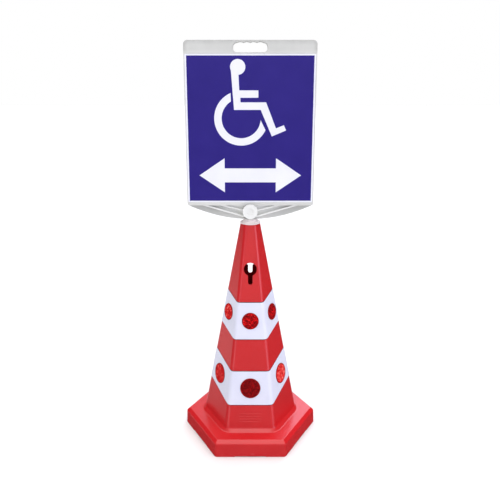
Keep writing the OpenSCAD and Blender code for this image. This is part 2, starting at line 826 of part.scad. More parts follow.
cone_shell();
ballast_ring();
ballast_washers();
ballast_screws();
upper_band(sides / 2);  // upper_band_front
upper_band(0);  // upper_band_rear
lower_band(sides / 2);  // lower_band_front
lower_band(0);  // lower_band_rear
for (f = [1:sides]) reflector(f - 1, upper_band_z, upper_band_z + upper_band_h, upper_reflector_d);
for (f = [1:sides]) reflector(f - 1, lower_band_z, lower_band_z + lower_band_h, lower_reflector_d);
neck_socket();
stem();
stem_washer();
stem_screw();
front_shell();
rear_shell();
shell_screws();
sheet();  // front_sheet
film();  // front_film
rotate([0, 0, 180]) sheet();  // rear_sheet
rotate([0, 0, 180]) film();  // rear_film
hub_bolt();
hub_nut();
hub_washers();
hub_cap();  // hub_cap_front
rotate([0, 0, 180]) hub_cap();  // hub_cap_rear
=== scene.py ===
# %% [markdown]
# # Dressing a cone sign
# The object is a hexagonal road cone that carries a sign board on a socket in its neck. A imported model,
# the frame, already holds every piece at its real size and place. This lesson gives those pieces their
# finish: moulded plastic with soft edges, reflective sheeting, prismatic reflectors and a printed board.
# Lengths are in metres, the ground is at height 0, and the front of the sign faces -Y.

# %% Load the frame
import math

import bmesh
import bpy
from mathutils import Color, Matrix, Vector
from mathutils.kdtree import KDTree


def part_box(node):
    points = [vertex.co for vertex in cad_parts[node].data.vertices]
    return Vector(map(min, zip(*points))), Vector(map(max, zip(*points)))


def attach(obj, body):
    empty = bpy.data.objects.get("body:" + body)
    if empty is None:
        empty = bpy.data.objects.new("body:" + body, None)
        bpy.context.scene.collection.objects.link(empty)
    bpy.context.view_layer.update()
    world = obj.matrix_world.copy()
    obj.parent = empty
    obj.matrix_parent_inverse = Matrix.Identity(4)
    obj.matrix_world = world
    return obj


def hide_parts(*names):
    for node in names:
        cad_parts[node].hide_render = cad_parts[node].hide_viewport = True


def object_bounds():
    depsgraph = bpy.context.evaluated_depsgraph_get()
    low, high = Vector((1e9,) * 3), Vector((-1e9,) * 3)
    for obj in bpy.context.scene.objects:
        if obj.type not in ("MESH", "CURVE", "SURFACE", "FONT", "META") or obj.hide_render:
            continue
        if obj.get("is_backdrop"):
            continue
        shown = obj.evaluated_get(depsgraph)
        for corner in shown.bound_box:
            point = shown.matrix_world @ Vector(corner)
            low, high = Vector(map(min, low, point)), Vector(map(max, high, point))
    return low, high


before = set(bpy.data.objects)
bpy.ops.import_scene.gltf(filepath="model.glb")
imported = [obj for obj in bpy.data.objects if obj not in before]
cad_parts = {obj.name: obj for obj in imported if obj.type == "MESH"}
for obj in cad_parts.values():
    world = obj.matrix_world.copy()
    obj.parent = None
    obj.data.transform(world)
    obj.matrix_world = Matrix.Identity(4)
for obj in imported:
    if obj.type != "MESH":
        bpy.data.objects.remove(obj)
CAD_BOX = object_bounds()
MM = 0.001

# %% [markdown]
# ## Camera
# A picture of a tall object is taken from a little above its middle, so the ledge of the plinth and the
# mouth of the cone both show. A small shift of the lens brings the sign to its place in the picture.
# Tilting the camera could do that too, but then the board's sides would lean more.

# %% Camera
CAMERA_AT = (0, -1.779, 1.198)
CAMERA_TILT = 76.15
LENS_MM = 39.49
SENSOR_MM = 36
LENS_SHIFT = (-0.0006, -0.06)


def new_object(name, data):
    """An object at the origin, linked to the scene."""
    made = bpy.data.objects.new(name, data)
    bpy.context.scene.collection.objects.link(made)
    return made


lens = bpy.data.cameras.new("lens")
lens.lens = LENS_MM
lens.sensor_width = SENSOR_MM
lens.shift_x, lens.shift_y = LENS_SHIFT
camera = new_object("camera", lens)
camera.location = CAMERA_AT
camera.rotation_euler.x = math.radians(CAMERA_TILT)
bpy.context.scene.camera = camera
print("camera: lens of", LENS_MM, "mm at", CAMERA_AT)

# %% [markdown]
# ## Helpers for node trees
# Light, finishes and repeated pieces are all trees of nodes, and a tree that is written node by node is
# hard to read. So an output of a node is wrapped here as a term. Terms add, subtract, multiply and divide
# like numbers, and each sign becomes one Math node. Some nodes have several sockets of one name, for
# different kinds of data. Only the one in use is enabled, so the helpers look for that one.

# %% Helpers for node trees


class Term:
    """An output of a node, which can be used like a number in a sum."""

    def __init__(self, socket):
        self.socket = socket
        self.tree = socket.id_data

    def __add__(self, other):
        return calc("ADD", self, other)

    def __sub__(self, other):
        return calc("SUBTRACT", self, other)

    def __mul__(self, other):
        return calc("MULTIPLY", self, other)

    def __truediv__(self, other):
        return calc("DIVIDE", self, other)

    def __mod__(self, other):
        return calc("MODULO", self, other)

    def __floordiv__(self, other):
        return calc("FLOOR", self / other)


def feed(value, socket):
    """Links a term to an input, or sets the input to a plain value."""
    if isinstance(value, Term):
        value.tree.links.new(value.socket, socket)
    else:
        socket.default_value = value


def fill(node, **inputs):
    """Feeds a node's inputs by name. An underscore stands for a space."""
    in_use = {socket.name: socket for socket in node.inputs if socket.enabled}
    for name, value in inputs.items():
        feed(value, in_use[name.replace("_", " ")])


def add_node(tree, kind, settings=None, **inputs):
    """A new node with its settings and inputs."""
    node = tree.nodes.new(kind)
    for name, value in (settings or {}).items():
        setattr(node, name, value)
    fill(node, **inputs)
    return node


def outputs(node):
    """A node's outputs by name, as terms."""
    return {socket.name: Term(socket) for socket in node.outputs if socket.enabled}


def add(tree, kind, output, settings=None, **inputs):
    """One output of a new node."""
    return outputs(add_node(tree, kind, settings, **inputs))[output]


def calc(operation, *values, kind="ShaderNodeMath"):
    """One Math node. Its values are terms or plain numbers, at least one of them a term."""
    tree = next(value.tree for value in values if isinstance(value, Term))
    node = add_node(tree, kind, {"operation": operation})
    for value, socket in zip(values, node.inputs):
        feed(value, socket)
    return next(Term(socket) for socket in node.outputs if socket.enabled)


def vector_calc(operation, *values):
    """One Vector Math node, which gives a vector, or a number for a length or a dot product."""
    return calc(operation, *values, kind="ShaderNodeVectorMath")


def split(vector):
    """The X, Y and Z of a vector."""
    return list(outputs(add_node(vector.tree, "ShaderNodeSeparateXYZ", Vector=vector)).values())


def join(tree, **parts):
    """A vector from some of X, Y and Z. The rest are 0."""
    return add(tree, "ShaderNodeCombineXYZ", "Vector", **parts)


print("helpers for node trees: ready")

# %% [markdown]
# ## Helpers for finishes
# A finish starts from the standard shader. A number that is the same all over the surface is set on the
# shader itself. What varies is a pattern in metres on the piece: soft noise, stretched to a useful span
# of values, which drives colour, gloss and bump. Colours are written as on a paint chart and become
# linear ones here.

# %% Helpers for finishes
BYTE_MAX = 255


def paint(code):
    """A colour such as #CC3A3E as linear red, green, blue and alpha."""
    shares = [part / BYTE_MAX for part in bytes.fromhex(code[1:])]
    return (*Color(shares).from_srgb_to_scene_linear(), 1)


def new_finish(name, **constants):
    """A material, its shader with some inputs set, and the place on the piece in metres."""
    material = bpy.data.materials.new(name)
    material.use_nodes = True
    shader = material.node_tree.nodes["Principled BSDF"]
    fill(shader, **constants)
    return material, shader, add(material.node_tree, "ShaderNodeTexCoord", "Object")


def noise(place, per_metre, detail=3, roughness=0.5):
    """Soft random clouds, about so many to a metre."""
    return add(place.tree, "ShaderNodeTexNoise", "Fac", Vector=place, Scale=per_metre, Detail=detail,
               Roughness=roughness)


def stored(tree, name):
    """A number that the mesh stores under a name."""
    return add(tree, "ShaderNodeAttribute", "Fac", {"attribute_name": name})


def remap(value, span, onto=(0, 1), curve="LINEAR"):
    """Stretches a span of values onto another one."""
    return add(value.tree, "ShaderNodeMapRange", "Result", {"interpolation_type": curve}, Value=value,
               From_Min=span[0], From_Max=span[1], To_Min=onto[0], To_Max=onto[1])


def ramp(factor, stops):
    """A ramp of colours. Its stops are paint codes by their places."""
    node = add_node(factor.tree, "ShaderNodeValToRGB", Fac=factor)
    stripe = node.color_ramp.elements
    while len(stripe) < len(stops):
        stripe.new(1)
    for element, (place, code) in zip(stripe, stops.items()):
        element.position = place
        element.color = paint(code)
    return outputs(node)["Color"]


def blend_colours(factor, low, high):
    """Goes from one colour to another as the factor goes from 0 to 1."""
    return add(factor.tree, "ShaderNodeMix", "Result", {"data_type": "RGBA"}, Factor=factor, A=low, B=high)


def stain(shader, amount, code):
    """Blends a colour over the base colour that a shader already has."""
    clean = Term(shader.inputs["Base Color"].links[0].from_socket)
    fill(shader, Base_Color=blend_colours(amount, clean, paint(code)))


def emboss(shader, height, depth):
    """Turns a height pattern into a bump of a depth in metres."""
    fill(shader, Normal=add(height.tree, "ShaderNodeBump", "Normal", Height=height, Distance=depth))


print("helpers for finishes: ready")

# %% [markdown]
# ## Floor and light
# The sign stands in a white studio, on a large sheet of pale paper. Lamps could light it, but glossy
# plastic shows what stands round it, so the light here is the room itself: a dim sky with soft bright
# patches. A broad ceiling draws light bands along the rounded ledges. A wall and a corner at the left
# grey the left faces, and a door there draws a bright line down the cone's left corners, as the window at
# the right does on the right ones. A window high at the back glances off the plinth. Windows have a cool
# daylight tint. The camera itself sees plain white, and the floor stays out of the gloss, so that the
# faces show the walls and not the paper.

# %% Floor and light
FLOOR_SIDE = 60
FLOOR_CLOUDS_PER_M = 0.8
SKY_BASE = 0.05
NEUTRAL = (1, 1, 1)
DAYLIGHT = (0.96, 0.98, 1.22)
# Where each patch lies, the half angles in degrees between which it fades, its strength and its tint
SKY_PATCHES = {
    "ceiling": ((0, -0.08, 1), (25, 63), 2.4, NEUTRAL),
    "left_wall": ((-0.88, 0.39, -0.26), (3, 12), 0.95, NEUTRAL),
    "front_wall": ((0, -1, -0.1), (12, 36), 0.2, NEUTRAL),
    "front_window": ((0, -1, 0.25), (8, 22), 0.7, NEUTRAL),
    "front_lamp": ((0, -1, 0.58), (4, 14), 0.5, DAYLIGHT),
    "left_window": ((-0.5, -0.87, 0), (5, 16), 1.2, DAYLIGHT),
    "left_door": ((-0.58, -0.77, -0.26), (7, 17), 1.4, NEUTRAL),
    "right_window": ((0.80, -0.60, 0.08), (10, 28), 2.4, DAYLIGHT),
    "back_window": ((0.29, 0.80, 0.53), (8, 24), 2.8, DAYLIGHT),
    "back_wall": ((0, 1, 0), (20, 55), 0.3, NEUTRAL),
    "left_corner": ((-0.55, 0.80, -0.25), (6, 20), 0.9, NEUTRAL),
}


def studio_sky():
    """A dim sky with soft bright patches, which the camera sees as white."""
    world = bpy.data.worlds.new("studio")
    world.use_nodes = True
    tree = world.node_tree
    way = add(tree, "ShaderNodeTexCoord", "Generated")
    light = [SKY_BASE] * 3
    for towards, half_angles, strength, tint in SKY_PATCHES.values():
        facing = vector_calc("DOT_PRODUCT", way, Vector(towards).normalized())
        inner, outer = [math.cos(math.radians(angle)) for angle in half_angles]
        amount = remap(facing, (outer, inner), (0, strength), "SMOOTHSTEP")
        light = vector_calc("MULTIPLY_ADD", tint, amount, light)
    seen = add(tree, "ShaderNodeLightPath", "Is Camera Ray")
    fill(tree.nodes["Background"], Color=vector_calc("MAXIMUM", light, seen))
    return world


def floor_paper():
    """Pale matt paper with faint clouds."""
    material, shader, place = new_finish("floor_paper", Roughness=0.9, Specular_IOR_Level=0)
    clouds = noise(place, FLOOR_CLOUDS_PER_M)
    fill(shader, Base_Color=ramp(clouds, {0.3: "#E4E4E4", 0.7: "#E8E8E8"}))
    return material


bpy.context.scene.world = studio_sky()
bpy.context.scene.view_settings.view_transform = "Standard"

half_side = FLOOR_SIDE / 2
floor_corners = [(x * half_side, y * half_side, 0) for x, y in ((-1, -1), (1, -1), (1, 1), (-1, 1))]
floor_mesh = bpy.data.meshes.new("floor")
floor_mesh.from_pydata(floor_corners, [], [range(len(floor_corners))])
floor_mesh.materials.append(floor_paper())
floor = new_object("floor", floor_mesh)
floor.visible_glossy = False
floor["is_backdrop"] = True
print("studio:", len(SKY_PATCHES), "patches of light over a floor of", FLOOR_SIDE, "m")

# %% [markdown]
# ## Moulded plastics
# The cone is dyed polyethylene. Such a moulding isn't one flat red: the dye clouds a little, the skin has
# a fine grain that breaks up its gloss, and the foot is scuffed pale where it slides over the road. Painted
# shade darkens the floors of the grooves round the bands, where the mesh stores it under a name. The socket
# and the caps are harder plastics with other colours and the same recipe, so one function makes them all.

# %% Moulded plastics
NOISE_SPAN = (0.3, 0.7)
CLOUDS_PER_M = 9
GRAIN_PER_M = 1400
GLOSS_SPREAD = 0.05
SCUFF_HEIGHT = 0.03
SCUFFS_PER_M = 60
SCUFF_STRETCH = (1, 1, 6)
SCUFF_SPAN = (0.56, 0.72)


def moulded(name, dark, light, roughness, grain_depth, gloss):
    """Dyed plastic: clouds in the dye, a fine grain and a roughness that varies with it."""
    material, shader, place = new_finish(name, Specular_IOR_Level=gloss)
    clouds = noise(place, CLOUDS_PER_M, detail=5)
    grain = noise(place, GRAIN_PER_M, detail=2)
    fill(shader, Base_Color=ramp(clouds, {0.32: dark, 0.68: light}),
         Roughness=remap(grain, NOISE_SPAN, (roughness - GLOSS_SPREAD, roughness + GLOSS_SPREAD)))
    emboss(shader, grain, grain_depth)
    return material, shader, place


def scuffed_red():
    """The cone's red, with pale scuffs that fade out above the foot, and painted shade on its grooves'
    floors.
    """
    material, shader, place = moulded("moulded_red", dark="#C4171D", light="#CA1A20", roughness=0.28,
                                      grain_depth=0.00006, gloss=0.6)
    low = remap(split(place)[2], (SCUFF_HEIGHT, 0))
    streaks = noise(vector_calc("MULTIPLY", place, SCUFF_STRETCH), SCUFFS_PER_M, detail=6)
    stain(shader, low * remap(streaks, SCUFF_SPAN), "#D9585A")
    # Painted shade: the floors of the grooves round the bands are painted dark
    stain(shader, stored(place.tree, "groove_painted_shade"), "#2C0406")
    return material


CONE_RED = scuffed_red()
SOCKET_GREY = moulded("socket_grey", dark="#D8CCCB", light="#E0D4D3", roughness=0.36,
                      grain_depth=0.00005, gloss=0.45)[0]
CAP_WHITE = moulded("cap_white", dark="#E8E8E5", light="#F0F0ED", roughness=0.28,
                    grain_depth=0.00003, gloss=0.5)[0]
print("moulded plastics:", CONE_RED.name, SOCKET_GREY.name, CAP_WHITE.name)

# %% [markdown]
# ## The board's grey
# Grey over the board's head, most along its upper edge and round the handle, is painted shade, partly also
# grime from the hands that carry the board. In the fan below, painted shade greys the outer ends of the deep
# pockets, painted light keeps the pockets pale near the board, and a painted highlight makes the ribs pale.
# Each is a mask on the piece's own coordinates: the distance to the edge or to the handle, the height, and
# the distance from the board's middle plane.

# %% The board's grey
BOARD_LOW, BOARD_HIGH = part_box("front_shell")
SHEET_LOW, SHEET_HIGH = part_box("front_sheet")
BOARD_HALF_T = -BOARD_LOW.y
EDGE_FADE_W = 0.014
HANDLE_DROP = 0.0205
HANDLE_HALF_H = 0.0155
HANDLE_REACH = 0.038
HANDLE_SHADE_AND_GRIME_W = 0.007
HEAD_SHADE_AND_GRIME = 0.4
HEAD_PATCHES_PER_M = 40
HEAD_PATCH_SHARES = (0.6, 1)
POCKET_DEPTHS = (0.009, 0.006)
POCKET_REACH = (0.030, 0.120)
POCKET_RISE = (0.785, 0.812)
RIB_DEPTHS = (0.0085, 0.0100)
RIM_DEPTHS = (0.0110, 0.0120)
RIB_HIGHLIGHT = 0.6


def grey_with_painted_light():
    """Eggshell grey with painted shade and hand grime on the head, and painted shade and highlights in the
    fan.
    """
    material, shader, place = moulded("board_grey", dark="#CFCFCB", light="#D6D6D2", roughness=0.42,
                                      grain_depth=0.00008, gloss=0.4)
    x, y, z = split(vector_calc("ABSOLUTE", place))
    side_edge = remap(x, (BOARD_HIGH.x - EDGE_FADE_W, BOARD_HIGH.x))
    top_edge = remap(z, (BOARD_HIGH.z - EDGE_FADE_W, BOARD_HIGH.z))
    past_end = calc("MAXIMUM", x - HANDLE_REACH, 0)
    above = z - (BOARD_HIGH.z - HANDLE_DROP)
    from_handle = vector_calc("LENGTH", join(place.tree, X=past_end, Z=above))
    round_handle = remap(from_handle, (HANDLE_HALF_H + HANDLE_SHADE_AND_GRIME_W, HANDLE_HALF_H))
    head_shade_and_grime = calc("MAXIMUM", side_edge + top_edge + HEAD_SHADE_AND_GRIME, round_handle)
    in_head = remap(z, (SHEET_HIGH.z, SHEET_HIGH.z + EDGE_FADE_W))
    patchy = remap(noise(place, HEAD_PATCHES_PER_M, detail=4), NOISE_SPAN, HEAD_PATCH_SHARES)
    # Painted shade, partly also grime from hands: grey over the head, most at its upper edge, its ends and
    # round the handle
    stain(shader, head_shade_and_grime * in_head * patchy, "#BEBEBA")
    in_fan = remap(z, (SHEET_LOW.z, SHEET_LOW.z - EDGE_FADE_W))
    in_pocket = remap(y, POCKET_DEPTHS) * in_fan
    # Painted light: the deep pockets are painted pale near the board, against the shade that falls there
    stain(shader, in_pocket * remap(z, POCKET_RISE), "#F2F2F0")
    # Painted shade: the outer ends of the deep pockets are painted darker grey
    stain(shader, in_pocket * remap(x, POCKET_REACH), "#B8B9B5")
    # Painted highlight: the raised ribs are painted pale
    on_rib = remap(y, RIB_DEPTHS) - remap(y, RIM_DEPTHS)
    stain(shader, on_rib * in_fan * RIB_HIGHLIGHT, "#F4F4F2")
    return material


BOARD_GREY = grey_with_painted_light()
print("board grey: bloom over", EDGE_FADE_W / MM, "mm of the head's edge")

# %% [markdown]
# ## Honeycomb sheeting
# Reflective sheeting holds its glass beads in small sealed cells, and their walls show as a fine
# honeycomb. A group of nodes draws it: two grids, shifted by half a cell, hold the centres of all
# hexagons. The nearer centre decides the cell, and the distance to its border gives the line.

# %% Honeycomb sheeting
ROOT_3 = math.sqrt(3)
HALF_CELL = (0.5, 0.5, 0)
CELL_WALL_SPAN = (0.43, 0.49)
CELL_WALL_H = 0.00008
SHEETING_CLOUDS_PER_M = 14
SHEETING_ROUGHNESS = (0.22, 0.4)


def new_group(name, tree_kind, output, **inputs):
    """A group of nodes and its inputs as terms. The output and the inputs are names with kinds of socket."""
    tree = bpy.data.node_groups.new(name, tree_kind)
    tree.interface.new_socket(output[0], in_out="OUTPUT", socket_type="NodeSocket" + output[1])
    for input_name, kind in inputs.items():
        tree.interface.new_socket(input_name, in_out="INPUT", socket_type="NodeSocket" + kind)
    return tree, outputs(add_node(tree, "NodeGroupInput"))


def honeycomb_group():
    """Gives 1 on the walls of hexagonal cells and 0 inside them. Its density is in cells to a metre."""
    tree, given = new_group("honeycomb", "ShaderNodeTree", ("Wall", "Float"), Place="Vector", Density="Float")
    in_cells = vector_calc("MULTIPLY", given["Place"], given["Density"])
    squeezed = vector_calc("MULTIPLY", in_cells, (1, 1 / ROOT_3, 0))
    offsets = []
    for shift in ((0, 0, 0), HALF_CELL):
        in_cell = vector_calc("FRACTION", vector_calc("ADD", squeezed, shift))
        offset = vector_calc("SUBTRACT", in_cell, HALF_CELL)
        offsets.append(vector_calc("MULTIPLY", offset, (1, ROOT_3, 0)))
    first, second = [vector_calc("LENGTH", offset) for offset in offsets]
    nearest = add(tree, "ShaderNodeMix", "Result", {"data_type": "VECTOR"},
                  Factor=calc("LESS_THAN", second, first), A=offsets[0], B=offsets[1])
    offset = vector_calc("ABSOLUTE", nearest)
    slanted = vector_calc("DOT_PRODUCT", offset, (1 / 2, ROOT_3 / 2, 0))
    to_border = calc("MAXIMUM", split(offset)[0], slanted)
    add_node(tree, "NodeGroupOutput", Wall=remap(to_border, CELL_WALL_SPAN))
    return tree


HONEYCOMB = honeycomb_group()


def sheeting(name, pattern_on, cells, walls, per_metre, turn=(0, 0, 0), **constants):
    """Reflective sheeting: honeycomb walls between slightly cloudy cells, in paint codes."""
    material, shader, place = new_finish(name, **constants)
    spread = add(place.tree, "ShaderNodeTexCoord", pattern_on)
    flat = add(place.tree, "ShaderNodeMapping", "Vector", Vector=spread, Rotation=turn)
    wall = add(place.tree, "ShaderNodeGroup", "Wall", {"node_tree": HONEYCOMB}, Place=flat, Density=per_metre)
    clouds = remap(noise(place, SHEETING_CLOUDS_PER_M, detail=4), NOISE_SPAN)
    cloudy = blend_colours(clouds, *[paint(code) for code in cells])
    fill(shader, Base_Color=blend_colours(wall, cloudy, paint(walls)),
         Roughness=remap(wall, (0, 1), SHEETING_ROUGHNESS))
    emboss(shader, wall, CELL_WALL_H)
    return material


FACE_ON = (math.radians(-90), 0, 0)
BAND_WHITE = sheeting("band_white", "UV", cells=("#DBDCEE", "#E2E3F2"), walls="#CED0E4", per_metre=300)
SHEET_WHITE = sheeting("sheet_white", "Object", cells=("#ECECF8", "#F2F2FC"), walls="#E2E3F0", per_metre=280,
                       turn=FACE_ON)
FILM_INDIGO = sheeting("film_indigo", "Object", cells=("#2A1E7A", "#2E2280"), walls="#271C74", per_metre=280,
                       turn=FACE_ON, Specular_IOR_Level=0.22)
print("sheeting:", BAND_WHITE.name, SHEET_WHITE.name, FILM_INDIGO.name)

# %% [markdown]
# ## Reflector, rubber and steel
# The reflectors are red acrylic with moulded prisms. Their sparkle is painted light: the finish reads a
# painted light level for each prism that the mesh stores under a name, and soft patches, a painted glint,
# brighten and dim whole groups of them. The smooth bezel has no stored level, so it takes the first colour
# of the ramp. The ballast is pressed from recycled rubber with pale crumbs in it. The fasteners have the
# mottled bloom of zinc plating.

# %% Reflector, rubber and steel
# Painted light levels of the prisms, from dark shade to a pale painted glint; the first is the bezel's colour
PRISM_COLOURS = {
    0: "#8E080E", 0.02: "#2E0103", 0.23: "#9A060A", 0.5: "#F41217", 0.67: "#FF645C", 1: "#FFB0A4",
}
PATCHES_PER_M = 120
PATCH_SPAN = (0.35, 0.65)
PATCH_SHARES = (0.77, 0.33)
CRUMBS_PER_M = 260
CRUMB_H = 0.0006
PALE_CRUMBS = (0.86, 0.92)
ZINC_BLOOM_PER_M = 320
ZINC_ROUGHNESS = (0.24, 0.42)


def prism_red():
    """Red acrylic with a painted light level for each prism and painted patches of glint."""
    material, shader, place = new_finish("prism_red", Roughness=0.3, Specular_IOR_Level=0.06)
    # Painted glint: soft patches brighten and dim groups of prisms
    patches = remap(noise(place, PATCHES_PER_M, detail=4, roughness=0.6), PATCH_SPAN, PATCH_SHARES)
    fill(shader, Base_Color=ramp(stored(place.tree, "cell_painted_light") * patches, PRISM_COLOURS))
    return material


def crumb_rubber():
    """Dark rubber of pressed crumbs, a few of them pale."""
    material, shader, place = new_finish("crumb_rubber", Roughness=0.85, Specular_IOR_Level=0.3)
    crumbs = outputs(add_node(place.tree, "ShaderNodeTexVoronoi", Vector=place, Scale=CRUMBS_PER_M))
    chance = add(place.tree, "ShaderNodeSeparateColor", "Red", Color=crumbs["Color"])
    pale = remap(chance, PALE_CRUMBS)
    fill(shader, Base_Color=blend_colours(pale, paint("#2A2A2C"), paint("#6C6A68")))
    emboss(shader, crumbs["Distance"], CRUMB_H)
    return material


def zinc_steel():
    """Zinc plate with a bloom that is pale where it is rough."""
    material, shader, place = new_finish("zinc_steel", Metallic=1)
    bloom = noise(place, ZINC_BLOOM_PER_M, detail=4)
    fill(shader, Base_Color=ramp(bloom, {0.35: "#A9ACB0", 0.65: "#C9CCD0"}),
         Roughness=remap(bloom, NOISE_SPAN, ZINC_ROUGHNESS))
    return material


PRISM_RED = prism_red()
CRUMB_RUBBER = crumb_rubber()
ZINC_STEEL = zinc_steel()
print("other finishes:", PRISM_RED.name, CRUMB_RUBBER.name, ZINC_STEEL.name)

# %% [markdown]
# ## Helpers for meshes
# A piece is a mesh whose points are already in their place, so its object stays at the origin. Modifiers
# do the cutting and rounding, and the result is then turned into a plain mesh. The last helper hands a
# finished piece to the frame: the body that it moves with, the finish that it stands for and the node
# that it replaces.

# %% Helpers for meshes
SMOOTH_ANGLE = math.radians(32)
WELD = MM / 1000
CUT_WELD = MM / 100
NEAR = MM / 10


def settle(piece):
    """Turns a piece and its modifiers into a plain mesh."""
    graph = bpy.context.evaluated_depsgraph_get()
    mesh = bpy.data.meshes.new_from_object(piece.evaluated_get(graph))
    piece.modifiers.clear()
    piece.data = mesh


def modify(piece, kind, **settings):
    """Runs one modifier on a piece."""
    modifier = piece.modifiers.new(kind, kind)
    for name, value in settings.items():
        setattr(modifier, name, value)
    settle(piece)


def rework(mesh, change, *values):
    """Lets a function change a mesh in a bmesh."""
    work = bmesh.new()
    work.from_mesh(mesh)
    change(work, *values)
    work.to_mesh(mesh)
    work.free()


def merge(work, distance):
    """Merges points that lie together."""
    bmesh.ops.remove_doubles(work, verts=work.verts, dist=distance)


def mesh_from(name, build, *values):
    """A closed mesh that a function builds in an empty bmesh."""
    def closed(work):
        build(work, *values)
        merge(work, WELD)
        bmesh.ops.recalc_face_normals(work, faces=work.faces)
    mesh = bpy.data.meshes.new(name)
    rework(mesh, closed)
    return mesh


def piece_from(name, build, *values):
    """An object with such a mesh."""
    return new_object(name, mesh_from(name, build, *values))


def carve(piece, tool, operation="DIFFERENCE"):
    """Cuts a tool out of a piece, or joins the two. The tool is used up."""
    modify(piece, "BOOLEAN", operation=operation, solver="EXACT", object=tool)
    bpy.data.objects.remove(tool)
    rework(piece.data, merge, CUT_WELD)


def round_edges(piece, width, segments=2, limit="ANGLE"):
    """Rounds the sharp edges of a piece, or each edge by its weight."""
    modify(piece, "BEVEL", width=width, segments=segments, limit_method=limit, angle_limit=SMOOTH_ANGLE,
           use_clamp_overlap=False, miter_outer="MITER_ARC")


def shade(piece):
    """Smooth shading that keeps flat faces flat."""
    mesh = piece.data
    mesh.polygons.foreach_set("use_smooth", [True] * len(mesh.polygons))
    mesh.set_sharp_from_angle(angle=SMOOTH_ANGLE)
    modify(piece, "WEIGHTED_NORMAL", keep_sharp=True)


def hand_over(piece, body, slot_name, material, node):
    """Gives a finished piece its material and its place in the frame."""
    piece.data.materials.clear()
    piece.data.materials.append(material)
    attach(piece, body)
    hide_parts(node)
    print(f"{piece.name}: {len(piece.data.polygons)} faces, stands for {node}")


print("helpers for meshes: ready")

# %% [markdown]
# ## Helpers for geometry nodes
# What repeats or follows a rule is grown by a tree of geometry nodes. A tree has named inputs for its
# sizes. The last helper sets them by their identifiers, runs the tree on a starting mesh and keeps the
# plain result.

# %% Helpers for geometry nodes


def new_tree(name, **sizes):
    """A geometry tree and its inputs as terms: the starting geometry, named sizes and a finish."""
    return new_group(name, "GeometryNodeTree", ("Geometry", "Geometry"), Geometry="Geometry", **sizes,
                     Finish="Material")


def end_tree(geometry, finish):
    """Makes instances real, sets the material and ends the tree."""
    tree = geometry.tree
    real = add(tree, "GeometryNodeRealizeInstances", "Geometry", Geometry=geometry)
    dressed = add(tree, "GeometryNodeSetMaterial", "Geometry", Geometry=real, Material=finish)
    add_node(tree, "NodeGroupOutput", Geometry=dressed)


def grow(name, start_mesh, tree, **sizes):
    """Runs a tree on a mesh and returns the piece with its plain result."""
    piece = new_object(name, start_mesh)
    modifier = piece.modifiers.new(tree.name, "NODES")
    modifier.node_group = tree
    for socket in tree.interface.items_tree:
        if socket.in_out == "INPUT" and socket.name in sizes:
            modifier[socket.identifier] = sizes[socket.name]
    settle(piece)
    return piece


print("helpers for geometry nodes: ready")

# %% [markdown]
# ## The cone's sizes
# The cone is a hexagonal pyramid with rounded corners, cut off at the top, on a low hexagonal plinth. The
# frame gives its height and its plinth's width. The other sizes are those of the moulding. A half width,
# named with an a, is measured from the axis to the middle of a face.

# %% The cone's sizes
SIDES = 6
HALF_FACE = math.pi / SIDES
FACE_TURN = 2 * HALF_FACE
FRONT_TURN = math.radians(270)
UPRIGHT = math.radians(90)
CONE_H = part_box("cone_shell")[1].z
PLINTH_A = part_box("cone_shell")[1].y
TOP_A = 0.0305
FOOT_A = 0.144
WALL = 0.003
CORNER_TOP_R = 0.016
CORNER_FOOT_R = 0.0216
PLINTH_H = 0.057
LEAN = (FOOT_A - TOP_A) / (CONE_H - PLINTH_H)
LEAN_ANGLE = math.atan(LEAN)


def face_a(z):
    """Half the cone's width across flats at a height."""
    return TOP_A + LEAN * (CONE_H - z)


def corner_r(z):
    """Radius of the cone's corners at a height."""
    return CORNER_TOP_R + (CORNER_FOOT_R - CORNER_TOP_R) * (CONE_H - z) / (CONE_H - PLINTH_H)


def ring_point(a, r, k, t):
    """A point on rounded corner k of a hexagon; t goes from 0 to 1 along the corner's arc."""
    reach = (a - r) / math.cos(HALF_FACE)
    out = FACE_TURN * k
    turn = out - HALF_FACE + FACE_TURN * t
    return reach * math.cos(out) + r * math.cos(turn), reach * math.sin(out) + r * math.sin(turn)


def face_matrix(f, z, along):
    """Puts a flat piece on face f of the cone: its +Z out of the face, its +X down and its +Y along it."""
    spin = Matrix.Rotation(FRONT_TURN + FACE_TURN * f, 4, "Z")
    move = Matrix.Translation((face_a(z), along, z))
    tilt = Matrix.Rotation(UPRIGHT - LEAN_ANGLE, 4, "Y")
    return spin @ move @ tilt


print(f"cone: {CONE_H / MM:.0f} mm high, faces lean {math.degrees(LEAN_ANGLE):.1f} degrees")

# %% [markdown]
# ## Lofting the moulded cone
# Each height of the moulding has the same rule: a hexagon of some half width with some corner radius. So
# the whole shell, inside and out, is one closed profile of (half width, corner radius, height). A tree of
# geometry nodes takes that profile as a string of points and wraps a grid round it. A bmesh loop could do
# the same, but here the number of facets on a corner stays an input that can be changed at any time.

# %% The hexagonal loft tree
WAVES = ("COSINE", "SINE")


